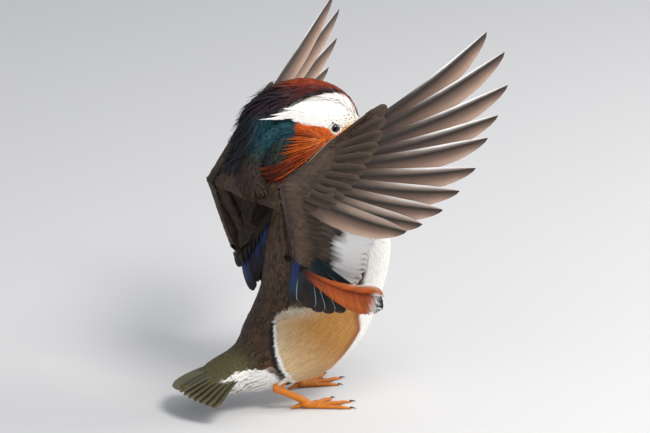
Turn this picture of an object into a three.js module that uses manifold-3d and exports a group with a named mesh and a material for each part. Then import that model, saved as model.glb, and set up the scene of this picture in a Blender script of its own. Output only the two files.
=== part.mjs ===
// A drake mandarin duck at life size, rearing up on its webbed feet with both wings spread.
// The bird looks along -Y, its right side is towards -X and up is +Z. Sizes are in millimetres.
// Places on the body are given as forward, right and up of a point between the feet.
import * as THREE from "three";
import { mergeVertices } from "three/addons/utils/BufferGeometryUtils.js";
import Module from "manifold-3d";

const wasm = await Module();
wasm.setup();

// Driving dimensions of the whole bird
const GAP = 0.3; // clearance kept between pieces that touch
const BELLY_RISE = 10; // how far the belly's lowest feathers stand over the floor
const PRIMARY_COUNT = 10;
const SECONDARY_COUNT = 9;

// Reach of each primary from the wrist, from the outermost inwards, and its angle in the wing's plane
const PRIMARY_REACH = [235, 238, 226, 207, 192, 176, 160, 146, 130, 118];
const PRIMARY_ANGLE = [38, 32, 25, 19, 14, 6, -1, -8, -15, -20];

// Colours of the plumage and the bare parts
const COLOURS = {
  crown: 0x7a2a18,
  back: 0x4a3626,
  flight: 0x6f6052,
  tail: 0x54503a,
  bill: 0xc43a32,
  foot: 0xd98a2b,
  eye: 0x140c0a,
};

const radians = THREE.MathUtils.degToRad;

// Seeded chance between 0 and 1, the same on each run
let chanceState = 7;
function chance() {
  chanceState = (chanceState * 16807) % 2147483647;
  return chanceState / 2147483647;
}

// A place on the body, worked out from forward, right and up.
function at(forward, right, up) {
  return new THREE.Vector3(-right, -forward, up + BELLY_RISE);
}

// A direction on the body, worked out from forward, right and up.
function towards(forward, right, up) {
  return new THREE.Vector3(-right, -forward, up).normalize();
}

// A point that lies the given share of the way from one point to another.
function between(from, to, share) {
  return new THREE.Vector3().lerpVectors(from, to, share);
}

// A point moved from a start along several directions by a length for each.
function moved(start, ...steps) {
  const point = start.clone();
  for (let i = 0; i < steps.length; i += 2) point.addScaledVector(steps[i], steps[i + 1]);
  return point;
}

// A smooth value read from rows of numbers, with place running from 0 at the first to 1 at the last.
function readRow(rows, column, place) {
  const x = place * (rows.length - 1);
  const i = Math.min(Math.floor(x), rows.length - 2);
  const t = x - i;
  const value = (k) => rows[Math.min(Math.max(k, 0), rows.length - 1)][column];
  const [a, b, c, d] = [value(i - 1), value(i), value(i + 1), value(i + 2)];
  return b + 0.5 * t * (c - a + t * (2 * a - 5 * b + 4 * c - d + t * (3 * (b - c) + d - a)));
}

// A closed body from loose triangles, turned so that its faces point outwards.
function solidFrom(points, triangles) {
  const geometry = new THREE.BufferGeometry();
  const flat = points.flatMap((p) => [p.x, p.y, p.z]);
  geometry.setAttribute("position", new THREE.Float32BufferAttribute(flat, 3));
  geometry.setIndex(triangles.flat());
  const merged = mergeVertices(geometry, 1e-4);
  const verts = merged.attributes.position.array;
  const index = new Uint32Array(merged.index.array);
  let volume = 0;
  const corner = (k) => new THREE.Vector3().fromArray(verts, 3 * index[k]);
  for (let i = 0; i < index.length; i += 3) {
    volume += corner(i).dot(corner(i + 1).cross(corner(i + 2)));
  }
  if (volume < 0) {
    for (let i = 0; i < index.length; i += 3) {
      [index[i + 1], index[i + 2]] = [index[i + 2], index[i + 1]];
    }
  }
  const mesh = new wasm.Mesh({ numProp: 3, vertProperties: verts, triVerts: index });
  return new wasm.Manifold(mesh);
}

// The union of many pieces.
function join(pieces) {
  let queue = [...pieces];
  while (queue.length > 1) {
    const next = [];
    for (let i = 0; i < queue.length; i += 2) {
      next.push(i + 1 < queue.length ? queue[i].add(queue[i + 1]) : queue[i]);
    }
    queue = next;
  }
  return queue[0];
}

// One body from many pieces, of which only the largest closed surface is kept.
function fuse(pieces) {
  return largest(join(pieces));
}

function largest(solid) {
  const bodies = solid.decompose();
  bodies.sort((a, b) => b.volume() - a.volume());
  return bodies[0];
}

// A skin stretched over rings of equal point count, closed by a fan at each end.
function loft(rings) {
  const sides = rings[0].length;
  const points = rings.flat();
  const triangles = [];
  for (let r = 0; r + 1 < rings.length; r++) {
    for (let s = 0; s < sides; s++) {
      const a = r * sides + s;
      const b = r * sides + ((s + 1) % sides);
      triangles.push([a, b, a + sides], [b, b + sides, a + sides]);
    }
  }
  for (const [start, flip] of [
    [0, true],
    [(rings.length - 1) * sides, false],
  ]) {
    const middle = new THREE.Vector3();
    for (let s = 0; s < sides; s++) middle.addScaledVector(points[start + s], 1 / sides);
    points.push(middle);
    for (let s = 0; s < sides; s++) {
      const a = start + s;
      const b = start + ((s + 1) % sides);
      triangles.push(flip ? [b, a, points.length - 1] : [a, b, points.length - 1]);
    }
  }
  return solidFrom(points, triangles);
}

// An oval ring: wide to both sides, with its own height above and below the centre.
function ovalRing(centre, side, top, width, above, below, sides, power = 2) {
  const ring = [];
  for (let s = 0; s < sides; s++) {
    const angle = (2 * Math.PI * s) / sides;
    const round = (v) => Math.sign(v) * Math.abs(v) ** (2 / power);
    const rise = round(Math.sin(angle));
    const height = rise > 0 ? above : below;
    ring.push(moved(centre, side, width * round(Math.cos(angle)), top, height * rise));
  }
  return ring;
}

// A round rod through a row of points, with a radius at each.
function rod(path, radii, sides = 10) {
  const rings = path.map((point, i) => {
    const before = path[Math.max(i - 1, 0)];
    const after = path[Math.min(i + 1, path.length - 1)];
    const along = after.clone().sub(before).normalize();
    const hint = Math.abs(along.z) < 0.8 ? new THREE.Vector3(0, 0, 1) : new THREE.Vector3(1, 0, 0);
    const side = new THREE.Vector3().crossVectors(hint, along).normalize();
    const top = new THREE.Vector3().crossVectors(along, side).normalize();
    return ovalRing(point, side, top, radii[i], radii[i], radii[i], sides);
  });
  return loft(rings);
}

// A limb through a row of points, wider across the wing than it is thick.
function limb(path, radii, face, sides = 8) {
  const rings = path.map((point, i) => {
    const before = path[Math.max(i - 1, 0)];
    const after = path[Math.min(i + 1, path.length - 1)];
    const along = after.clone().sub(before).normalize();
    const top = moved(face, along, -face.dot(along)).normalize();
    const side = new THREE.Vector3().crossVectors(along, top);
    return ovalRing(point, side, top, 1.2 * radii[i], 0.85 * radii[i], 0.85 * radii[i], sides);
  });
  return loft(rings);
}

// A thin fan stretched from a row of roots to a row of tips, alike on both faces.
function fan(roots, tips, faces, thickRoot, thickTip, rows = 5) {
  const across = roots.length;
  const points = [];
  for (const side of [0.5, -0.5]) {
    for (let r = 0; r < rows; r++) {
      const share = r / (rows - 1);
      const thick = thickRoot + (thickTip - thickRoot) * share;
      for (let c = 0; c < across; c++) {
        points.push(moved(between(roots[c], tips[c], share), faces[c], side * thick));
      }
    }
  }
  return gridBody(points, rows, across);
}

// How wide a feather is along its length, from the root to a rounded or a pointed tip
const LONG = { places: [0, 0.3, 0.66, 0.9, 1], widths: [0.16, 0.94, 0.9, 0.46, 0.1] };
const ROUNDED = { places: [0, 0.4, 0.85, 1], widths: [0.16, 1, 0.84, 0.24] };
const BROAD = { places: [0, 0.35, 0.85, 1], widths: [0.2, 0.95, 0.92, 0.4] };
const SHORT = { places: [0, 0.55, 1], widths: [0.4, 1, 0.4] };
const SAIL = { places: [0, 0.2, 0.5, 0.8, 1], widths: [0.2, 0.6, 1, 0.8, 0.12] };
const EDGE_THICK = 0.55;

// One long feather: a thin vane with a raised shaft, its leading edge lifted so that the next lies under it.
// With grow it is the room that the feather needs, that much larger all round.
function vane(feather, grow = 0) {
  const { root, tip, face, lead, widths, outline = ROUNDED, tilt = 9, bow = 0, arch = 0 } = feather;
  const shaftThick = feather.shaftThick ?? 1.1;
  const along = tip.clone().sub(root).normalize();
  const upright = moved(face, along, -face.dot(along)).normalize();
  const flat = new THREE.Vector3().crossVectors(upright, along);
  if (flat.dot(lead) < 0) flat.negate();
  const slope = radians(tilt);
  const side = moved(new THREE.Vector3(), flat, Math.cos(slope), upright, Math.sin(slope));
  const normal = moved(new THREE.Vector3(), upright, Math.cos(slope), flat, -Math.sin(slope));
  const points = [];
  for (const under of [false, true]) {
    outline.places.forEach((place, r) => {
      const swing = 4 * place * (1 - place);
      const centre = moved(between(root, tip, place), flat, bow * swing, upright, arch * swing);
      const shaft = THREE.MathUtils.lerp(shaftThick, EDGE_THICK, place);
      const columns = [
        [widths[0] * outline.widths[r] + grow, EDGE_THICK],
        [0, shaft],
        [-widths[1] * outline.widths[r] - grow, EDGE_THICK],
      ];
      const reach = past(r, outline.places.length) * grow;
      for (const [across, thick] of columns) {
        const rise = (under ? -1 : 1) * (0.5 * thick + 1.1 * grow) - 0.06 * Math.abs(across);
        points.push(moved(centre, side, across, normal, rise, along, reach));
      }
    });
  }
  return gridBody(points, outline.places.length, 3);
}

// A closed body from two like grids of points, the upper face first, split alike on both faces.
function gridBody(points, rows, across) {
  const under = rows * across;
  const triangles = [];
  for (let r = 0; r + 1 < rows; r++) {
    for (let c = 0; c + 1 < across; c++) {
      const a = r * across + c;
      triangles.push([a, a + 1, a + across], [a + 1, a + across + 1, a + across]);
      const u = a + under;
      triangles.push([u + 1, u, u + across], [u + across + 1, u + 1, u + across]);
    }
    const first = r * across;
    const last = first + across - 1;
    triangles.push([first, first + across, first + under], [last + across, last, last + under]);
    triangles.push(
      [first + across, first + across + under, first + under],
      [last + across + under, last + across, last + under],
    );
  }
  for (let c = 0; c + 1 < across; c++) {
    const e = (rows - 1) * across + c;
    triangles.push([c + 1, c, c + under], [c + 1, c + under, c + 1 + under]);
    triangles.push([e, e + 1, e + under], [e + 1, e + 1 + under, e + under]);
  }
  return solidFrom(points, triangles);
}

// A flat lock of soft feathers through a row of points, tapering to its tip.
function lock(path, outward, width, thick) {
  const rings = path.map((point, i) => {
    const share = i / (path.length - 1);
    const before = path[Math.max(i - 1, 0)];
    const after = path[Math.min(i + 1, path.length - 1)];
    const along = after.clone().sub(before).normalize();
    const normal = moved(outward[i], along, -outward[i].dot(along)).normalize();
    const side = new THREE.Vector3().crossVectors(along, normal);
    const w = width * (share < 1 ? 0.7 + 0.3 * Math.sin(Math.PI * share) : 0.12);
    const h = thick * (1 - 0.75 * share);
    return [
      moved(point, side, w / 2, normal, -h / 3),
      moved(point, normal, (2 * h) / 3),
      moved(point, side, -w / 2, normal, -h / 3),
    ];
  });
  return loft(rings);
}

// The trunk: each row gives forward, up, the lean of its spine, then depth of back and belly, and half width
const TRUNK_ROWS = [
  [-66, 31, 12, 16, 22, 22],
  [-51, 34, 18, 21, 27, 29],
  [-34, 40, 30, 34, 35, 38],
  [-9, 54, 45, 45, 49, 45],
  [10, 76, 58, 50, 56, 51],
  [22, 104, 70, 54, 57, 55],
  [29, 136, 82, 55, 59, 57],
  [29, 166, 95, 50, 55, 54],
  [23, 190, 103, 42, 45, 46],
  [17, 207, 105, 36, 34, 36],
];
const TRUNK_RINGS = 16;
const TRUNK_SIDES = 20;

function trunk(grow = 0) {
  const rings = [];
  for (let r = 0; r < TRUNK_RINGS; r++) {
    const place = r / (TRUNK_RINGS - 1);
    const read = (column) => readRow(TRUNK_ROWS, column, place);
    const lean = radians(read(2));
    const centre = moved(at(read(0), 0, read(1)), spineRun(lean), past(r, TRUNK_RINGS) * grow);
    const ring = [read(5) + grow, read(3) + grow, read(4) + grow];
    rings.push(ovalRing(centre, towards(0, 1, 0), spineTop(lean), ...ring, TRUNK_SIDES, 2.15));
  }
  return loft(rings);
}

// The spine's own direction and the direction of the back over it, from its lean
function spineRun(lean) {
  return towards(Math.cos(lean), 0, Math.sin(lean));
}

function spineTop(lean) {
  return towards(-Math.sin(lean), 0, Math.cos(lean));
}

// Minus one at the first ring, one at the last and nought between: the way in which growth passes the ends.
function past(ring, count) {
  return (ring === count - 1) - (ring === 0);
}

// The neck rises from the trunk's top face and ends against the head
const NECK_ROWS = [
  [17, 207.3, 105, 36, 34, 36],
  [9, 221, 104, 43, 29, 31],
  [3, 236, 98, 46, 26, 27],
  [6, 252, 88, 37, 22, 21],
];
const NECK_RINGS = 5;
const NECK_SIDES = 16;

function neckShape(grow = 0) {
  const rings = [];
  for (let r = 0; r < NECK_RINGS; r++) {
    const read = (column) => readRow(NECK_ROWS, column, r / (NECK_RINGS - 1));
    const lean = radians(read(2));
    const centre = moved(at(read(0), 0, read(1)), spineRun(lean), past(r, NECK_RINGS) * grow);
    const ring = [read(5) + grow, read(3) + grow, read(4) + grow];
    rings.push(ovalRing(centre, towards(0, 1, 0), spineTop(lean), ...ring, NECK_SIDES));
  }
  return loft(rings);
}

// The head's own frame: it is turned a little to the right and looks slightly down
const HEAD_CENTRE = at(8, 0, 258);
const HEAD_TURN = radians(15);
const HEAD_DIP = radians(9);
const headAhead = towards(
  Math.cos(HEAD_TURN) * Math.cos(HEAD_DIP),
  Math.sin(HEAD_TURN) * Math.cos(HEAD_DIP),
  -Math.sin(HEAD_DIP),
);
const headRight = towards(-Math.sin(HEAD_TURN), Math.cos(HEAD_TURN), 0);
const headUp = new THREE.Vector3().crossVectors(headAhead, headRight).negate().normalize();

// A place on the head, from ahead, right and up of its centre.
function onHead(ahead, right, up) {
  return moved(HEAD_CENTRE, headAhead, ahead, headRight, right, headUp, up);
}

// The skull with the short feathers on it: ahead, rise of the centre, height above and below, half width
const HEAD_ROWS = [
  [-34, 6, 6, 8, 7],
  [-30, 5, 18, 15, 15],
  [-20, 4, 27, 21, 21],
  [-6, 4, 30, 24, 24],
  [8, 3, 29, 23, 23.5],
  [22, 1, 24, 18, 18.5],
  [34, -2, 17, 13, 13],
  [42, -4, 11, 9, 9],
];
const HEAD_RINGS = 11;
const HEAD_SIDES = 16;

function headShape(grow = 0) {
  const rings = [];
  for (let r = 0; r < HEAD_RINGS; r++) {
    const read = (column) => readRow(HEAD_ROWS, column, r / (HEAD_RINGS - 1));
    const ring = [read(4) + grow, read(2) + grow, read(3) + grow];
    rings.push(ovalRing(onHead(read(0), 0, read(1)), headRight, headUp, ...ring, HEAD_SIDES, 2.1));
  }
  return loft(rings);
}

// The crest's form, from the brow over the crown and down behind the neck: ahead, up, depth, half width
const CREST_ROWS = [
  [41, 13, 8, 9],
  [28, 27, 12, 16],
  [9, 34, 14, 20],
  [-12, 33, 15, 22],
  [-32, 22, 16, 22],
  [-48, 4, 17, 20],
  [-57, -20, 14, 16],
  [-64, -37, 9, 9],
];

// A place on the crest: how far along it, how far round from its middle line, and how deep in it.
function onCrest(place, round, depth) {
  const read = (column, where = place) => readRow(CREST_ROWS, column, Math.min(where, 1));
  const ahead = Math.min(place, 0.96) + 0.04;
  const run = read(0, ahead) - read(0, ahead - 0.08);
  const climb = read(1, ahead) - read(1, ahead - 0.08);
  const normal = moved(new THREE.Vector3(), headAhead, climb, headUp, -run).normalize();
  const past = Math.max(place - 1, 0) * 110;
  const angle = radians(round);
  const point = moved(
    onHead(read(0), 0, read(1)),
    headRight,
    read(3) * depth * Math.sin(angle),
    normal,
    read(2) * depth * Math.cos(angle),
    headAhead,
    -0.35 * past,
    headUp,
    -0.94 * past,
  );
  const out = moved(
    new THREE.Vector3(),
    headRight,
    Math.sin(angle),
    normal,
    Math.cos(angle),
  );
  return { point, out };
}

// The core of the crest reaches half way out to the tips of its locks
const CREST_CORE = 0.55;

function crestCore() {
  const rings = [];
  for (let r = 0; r < 9; r++) {
    const ring = [];
    for (let s = 0; s < 10; s++) ring.push(onCrest(0.03 + 0.11 * r, 36 * s, CREST_CORE).point);
    rings.push(ring);
  }
  return loft(rings);
}

// Tiers of long locks, each starting inside the core and ending at the crest's outline
const CREST_TIERS = 4;
const CREST_ACROSS = 5;

function crestLocks() {
  const locks = [];
  for (let tier = 0; tier < CREST_TIERS; tier++) {
    for (let i = 0; i < CREST_ACROSS; i++) {
      const stagger = tier % 2 === 0 ? 0 : 0.5;
      const round = ((i + stagger - 2.25) / 2.25) * 76;
      const start = 0.01 + 0.215 * tier;
      const length = 0.37 + 0.03 * chance();
      const lift = 0.53 - 0.17 * (i % 2);
      const path = [0, 0.4, 1].map((share) =>
        onCrest(start + length * share, round * (1 - 0.12 * share), 0.5 + lift * share ** 0.6),
      );
      const places = path.map((step) => step.point);
      locks.push(lock(places, path.map((step) => step.out), 12.5, 2.8));
    }
  }
  return locks;
}

// The pointed cheek feathers fan back and down from below the eye, in tiers on each side
const HACKLE_TIERS = 2;
const HACKLE_REACH = [
  [45, 61, 66, 62, 48],
  [34, 45, 48, 45, 36],
];

function cheekHackles(side) {
  const locks = [];
  for (let tier = 0; tier < HACKLE_TIERS; tier++) {
    const count = 6 - tier;
    for (let i = 0; i < count; i++) {
      const share = (i + 0.25 * tier) / (count - 1);
      const angle = radians(182 + 88 * Math.min(share, 1));
      const columns = HACKLE_REACH[tier].map((reach) => [reach]);
      const reach = readRow(columns, 0, Math.min(share, 1)) * (0.97 + 0.06 * chance());
      const path = [0.16, 0.58, 1].map((step, k) => {
        const lift = 2 * tier + 1.6 * (i % 2);
        const out = [19, 24.5, 25][k] + lift - 3 * Math.min(share, 1) * (k > 1);
        const bend = angle + 0.1 * Math.sin(Math.PI * step) * (share - 0.5);
        return onHead(
          14 + reach * step * Math.cos(bend),
          side * out,
          -4 + reach * step * Math.sin(bend),
        );
      });
      const outward = path.map(() => headRight.clone().multiplyScalar(side));
      locks.push(lock(path, outward, 15 - 2 * tier, 1.8));
    }
  }
  return locks;
}

// The eye sits in a socket in the side of the head
const EYE_RADIUS = 5.2;
const EYE_AHEAD = 22;
const EYE_RIGHT = 14.8;
const EYE_UP = 5.5;

function eyeCentre(side) {
  return onHead(EYE_AHEAD, side * EYE_RIGHT, EYE_UP);
}

// A ready-made geometry moved to its place, as a closed body.
function bodyOf(geometry, centre) {
  geometry.deleteAttribute("normal");
  geometry.deleteAttribute("uv");
  const joined = mergeVertices(geometry, 1e-4);
  const points = [];
  for (let i = 0; i < joined.attributes.position.count; i++) {
    points.push(new THREE.Vector3().fromBufferAttribute(joined.attributes.position, i).add(centre));
  }
  const triangles = [];
  for (let i = 0; i < joined.index.count; i += 3) {
    triangles.push([0, 1, 2].map((k) => joined.index.getX(i + k)));
  }
  return solidFrom(points, triangles);
}

function ball(centre, radius, across = 12, down = 9) {
  return bodyOf(new THREE.SphereGeometry(radius, across, down), centre);
}

// The lids are a raised ring round the eye, a little longer than high
function eyeLids(side) {
  const out = moved(
    new THREE.Vector3(),
    headRight,
    side * 0.96,
    headAhead,
    0.22,
    headUp,
    0.1,
  ).normalize();
  const fore = moved(headAhead, out, -headAhead.dot(out)).normalize();
  const top = new THREE.Vector3().crossVectors(fore, out).normalize();
  const middle = moved(eyeCentre(side), out, 3.6);
  const rings = [];
  for (let r = 0; r < 14; r++) {
    const angle = (2 * Math.PI * r) / 14;
    const radial = moved(new THREE.Vector3(), fore, Math.cos(angle), top, Math.sin(angle));
    const centre = moved(middle, fore, 4.9 * Math.cos(angle), top, 4.5 * Math.sin(angle));
    const ring = [];
    for (let k = 0; k < 6; k++) {
      const turn = (2 * Math.PI * k) / 6;
      ring.push(moved(centre, radial, 0.95 * Math.cos(turn), out, 1.3 * Math.sin(turn) - 0.5));
    }
    rings.push(ring);
  }
  return closedHoop(rings);
}

// A ring-shaped body from sections that meet end to end.
function closedHoop(rings) {
  const sides = rings[0].length;
  const triangles = [];
  for (let r = 0; r < rings.length; r++) {
    const next = (r + 1) % rings.length;
    for (let k = 0; k < sides; k++) {
      const l = (k + 1) % sides;
      triangles.push([r * sides + k, r * sides + l, next * sides + k]);
      triangles.push([r * sides + l, next * sides + l, next * sides + k]);
    }
  }
  return solidFrom(rings.flat(), triangles);
}

// The bill: ahead of the face, rise of its ridge and of its edge, half width
const BILL_START = 42.3;
const BILL_ROWS = [
  [0, 4, -7, 7.8],
  [8, 1.5, -8, 7],
  [17, -3.5, -9.5, 6.6],
  [25, -7.5, -11, 6],
  [30.5, -10.5, -12.2, 2.8],
];
const BILL_RINGS = 7;
const BILL_SIDES = 9;

function billHalf(upper) {
  const rings = [];
  for (let r = 0; r < BILL_RINGS; r++) {
    const share = r / (BILL_RINGS - 1);
    const read = (column) => readRow(BILL_ROWS, column, share);
    const height = upper ? read(1) - read(2) : 3.4 - 2 * share;
    const edge = read(2) - (upper ? 0 : 0.35);
    const ring = [];
    for (let s = 0; s < BILL_SIDES; s++) {
      const angle = (Math.PI * s) / (BILL_SIDES - 1);
      const rise = height * Math.sin(angle) ** 0.8 * (upper ? 1 : -1);
      const width = read(3) * (upper ? 1 : 0.86);
      ring.push(onHead(BILL_START + read(0), width * Math.cos(angle), edge + rise));
    }
    rings.push(ring);
  }
  return loft(rings);
}

// The upper half carries a nostril on each side and the hooked nail at its tip
function upperBill() {
  const nail = ball(new THREE.Vector3(), 1, 8, 5)
    .scale([2.6, 3, 2.4])
    .translate(onHead(BILL_START + 28.6, 0, -11).toArray());
  let bill = billHalf(true).add(nail);
  for (const side of [1, -1]) {
    const nostril = ball(new THREE.Vector3(), 1, 8, 5)
      .scale([1.2, 2.4, 0.9])
      .translate(onHead(BILL_START + 10, side * 5.4, -1.6).toArray());
    bill = bill.subtract(nostril);
  }
  const below = billHalf(false);
  for (const way of [headUp, headAhead, headUp.clone().negate()]) {
    bill = bill.subtract(below.translate(moved(new THREE.Vector3(), way, GAP).toArray()));
  }
  return largest(bill);
}

// The plane in which one wing is spread, and the joints of its arm
function wingFrame(side) {
  const right = side > 0;
  const sweep = radians(right ? 27 : 33);
  const lean = radians(right ? 17 : 8);
  const spread = towards(Math.cos(sweep), side * Math.sin(sweep), 0);
  const rise = towards(
    Math.sin(sweep) * Math.sin(lean),
    -side * Math.cos(sweep) * Math.sin(lean),
    Math.cos(lean),
  );
  const under = new THREE.Vector3().crossVectors(spread, rise).multiplyScalar(-side).normalize();
  const wing = {
    side,
    spread,
    rise,
    under,
    upper: under.clone().negate(),
    shoulder: right ? at(5, 35, 200) : at(3, -36, 190),
    elbow: right ? at(-38, 70, 157) : at(-31, -60, 130),
    wrist: right ? at(-51, 75, 226) : at(-50, -75, 192),
    fanEnd: right ? -84 : -58,
    scapularEnd: right ? at(-28, 49, 104) : at(-25, -41, 90),
  };
  wing.handTip = inWing(wing, 44, 56);
  const forearm = wing.wrist.clone().sub(wing.elbow).normalize();
  const secondary = moved(new THREE.Vector3(), spread, 0.97, rise, -0.25, under, 0.16);
  wing.armUpper = new THREE.Vector3().crossVectors(secondary, forearm).multiplyScalar(side).normalize();
  return wing;
}

// A place in the wing's plane, by angle above its spread direction and distance from the wrist.
function inWing(wing, angle, reach, out = 0) {
  const a = radians(angle);
  return moved(
    wing.wrist,
    wing.spread,
    reach * Math.cos(a),
    wing.rise,
    reach * Math.sin(a),
    wing.upper,
    out,
  );
}

// Root, tip and face of each long feather, from the outermost primary in to the last by the elbow
const SECONDARY_LENGTH = [93, 64]; // in the wing's plane, by the wrist and by the elbow
const SECONDARY_LIFT = 34; // how far the innermost tips stand out from the wing's plane
const TERTIAL_REACH = [88, 76, 66, 56, 44];

function flightFeathers(wing) {
  const feathers = [];
  for (let i = 0; i < PRIMARY_COUNT; i++) {
    const share = i / (PRIMARY_COUNT - 1);
    feathers.push({
      kind: "primary",
      root: between(wing.handTip, wing.wrist, 0.06 + 0.9 * share),
      tip: inWing(wing, PRIMARY_ANGLE[i], PRIMARY_REACH[i]),
      face: wing.upper,
      lead: wing.rise,
      widths: [4.5 + 4.5 * share, 12.5 + 1.5 * share],
      outline: LONG,
      bow: -5 + 5 * share,
      arch: 3,
      shaftThick: 1.9,
    });
  }
  for (let i = 0; i < SECONDARY_COUNT; i++) {
    const share = (i + 1) / SECONDARY_COUNT;
    const root = between(wing.wrist, wing.elbow, share * 0.97);
    const length = THREE.MathUtils.lerp(...SECONDARY_LENGTH, share);
    const turn = radians(-22 - 4 * share);
    const flat = [wing.spread, length * Math.cos(turn), wing.rise, length * Math.sin(turn)];
    feathers.push({
      kind: "secondary",
      root,
      tip: moved(root, ...flat, wing.under, SECONDARY_LIFT * share),
      face: between(wing.upper, wing.armUpper, share),
      lead: wing.rise,
      widths: [8, 11],
      outline: BROAD,
      tilt: 12,
      arch: 4,
      shaftThick: 1.6,
    });
  }
  TERTIAL_REACH.forEach((reach, i) => {
    const share = i / (TERTIAL_REACH.length - 1);
    const turn = THREE.MathUtils.lerp(-25, wing.fanEnd, share);
    const a = radians(turn);
    const tip = moved(
      wing.elbow,
      wing.spread,
      reach * Math.cos(a),
      wing.rise,
      reach * Math.sin(a),
      wing.under,
      i === 0 ? 18 : 13 - 13 * share,
    );
    feathers.push({
      kind: i === 0 ? "sail" : "tertial",
      root: moved(
        wing.elbow,
        wing.rise,
        6 - 3.2 * i,
        wing.spread,
        1 + 1.5 * i,
        wing.upper,
        i === 0 ? 3 : 0,
      ),
      tip,
      face: wing.armUpper,
      lead: wing.rise,
      widths: i === 0 ? [20, 22] : [8, 11],
      tilt: 11,
      outline: i === 0 ? SAIL : BROAD,
      arch: 5,
      shaftThick: 1.5,
    });
  });
  return feathers;
}

// Coverts lie over the roots of the long feathers, one on every second of them
function coverts(wing, feathers) {
  const found = [];
  for (let i = 1; i < PRIMARY_COUNT + SECONDARY_COUNT; i += 2) {
    const { root, tip, face, lead, kind } = feathers[i];
    const length = kind === "primary" ? 62 : 46;
    const along = tip.clone().sub(root).normalize();
    found.push({
      root: moved(root, face, 1.6),
      tip: moved(root, along, length, face, 5),
      kind,
      face,
      lead,
      widths: [9, 11],
      outline: SHORT,
      arch: 1.2,
      shaftThick: 0.9,
    });
  }
  return found;
}

// Shoulder feathers hang from the upper arm down along the back
const SCAPULARS = 3;

function scapulars(wing) {
  const found = [];
  for (let i = 0; i < SCAPULARS; i++) {
    const share = i / (SCAPULARS - 1);
    const root = between(wing.elbow, wing.shoulder, 0.3 + 0.5 * share);
    const back = towards(-1, 0, 0);
    const inner = towards(0, -wing.side, 0);
    found.push({
      root,
      tip: moved(wing.scapularEnd, back, 2 - 2 * share, inner, 9 * share, towards(0, 0, 1), 26 * share),
      face: towards(-1, wing.side > 0 ? 0.75 : 0, 0),
      lead: towards(0, wing.side, 0),
      widths: [9, 10],
      outline: ROUNDED,
      tilt: 14,
      arch: 5,
      shaftThick: 1.4,
    });
  }
  return found;
}

// The first fingers' feathers stand on the leading edge of the hand
function alula(wing) {
  return [0, 1].map((i) => ({
    root: inWing(wing, 52, 10 + 4 * i, 3),
    tip: inWing(wing, 51 - 4 * i, 62 - 12 * i, 6.5 + 1.5 * i),
    face: wing.upper,
    lead: wing.rise,
    widths: [4, 6],
    outline: SHORT,
    arch: 1,
    shaftThick: 1,
  }));
}

// One wing in its three lengths, which meet at the elbow and the wrist: upper arm, forearm and hand
const ELBOW_RADIUS = 9.5;
const WRIST_RADIUS = 7.5;

function wingShapes(side) {
  const wing = wingFrame(side);
  const { shoulder, elbow, wrist, handTip } = wing;
  const feathers = flightFeathers(wing);
  const primaries = feathers.filter((feather) => feather.kind === "primary");
  const secondaries = feathers.filter((feather) => feather.kind === "secondary");
  const inner = feathers.filter((feather) => feather.kind === "sail" || feather.kind === "tertial");
  const covering = coverts(wing, feathers);
  const isHand = (feather) => feather.kind === "primary";
  const vanes = (list) => join(list.map((feather) => vane(feather)));
  const roomFor = (list) => join(list.map((feather) => vane(feather, GAP)));
  const joints = (grow) => [
    ball(elbow, ELBOW_RADIUS + grow, 9, 6),
    ball(wrist, WRIST_RADIUS + grow, 10, 7),
  ];
  const forearmLimb = (grow) =>
    limb([elbow, between(elbow, wrist, 0.35), wrist], [7 + grow, 10 + grow, 5.6 + grow], wing.armUpper);
  const handLimb = (grow) =>
    limb([wrist, handTip, inWing(wing, 41, 88)], [5.6 + grow, 5 + grow, 2.4 + grow], wing.upper);
  const body = (solid) => solid.subtract(trunk(GAP)).subtract(neckShape(GAP));

  const forearmBody = (grow) => fuse([...joints(grow), forearmLimb(grow)]);
  const handFeathers = [...alula(wing), ...covering.filter(isHand), ...primaries.reverse()];
  const forearmFeathers = [...secondaries, ...inner, ...covering.filter((f) => !isHand(f))];
  const handRoom = join([handLimb(GAP), roomFor(handFeathers.slice(0, -PRIMARY_COUNT / 2))]);
  const room = forearmBody(GAP);
  const hand = largest(join([handLimb(0), vanes(handFeathers)]).subtract(room));
  const forearm = largest(body(join([forearmBody(0), vanes(forearmFeathers).subtract(handRoom)])));

  const web = [0.06, 0.5, 1].map((share) => between(shoulder, wrist, share));
  const bones = web.map((point) => between(point, elbow, 0.9));
  const webFace = new THREE.Vector3()
    .crossVectors(elbow.clone().sub(shoulder), wrist.clone().sub(shoulder))
    .normalize();
  const upperPieces = [
    limb([shoulder, between(shoulder, elbow, 0.5), elbow], [15, 13, 7], webFace, 10),
    fan(web, bones, web.map(() => webFace), 6, 6, 3),
    ...scapulars(wing).map((feather) => vane(feather)),
  ];
  const upper = largest(body(fuse(upperPieces).subtract(room).subtract(roomFor(forearmFeathers))));
  return { upper, forearm, hand };
}

// The tail: a wedge of small feathers carries the fan of long ones, the middle pair on top
const TAIL_PAIRS = 6;
const TAIL_START = -66.3;
const TAIL_LENGTH = 62; // from the trunk's end to the tip of the middle pair
const TAIL_FAN = 30; // degrees that the outermost feathers stand out to each side

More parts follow.
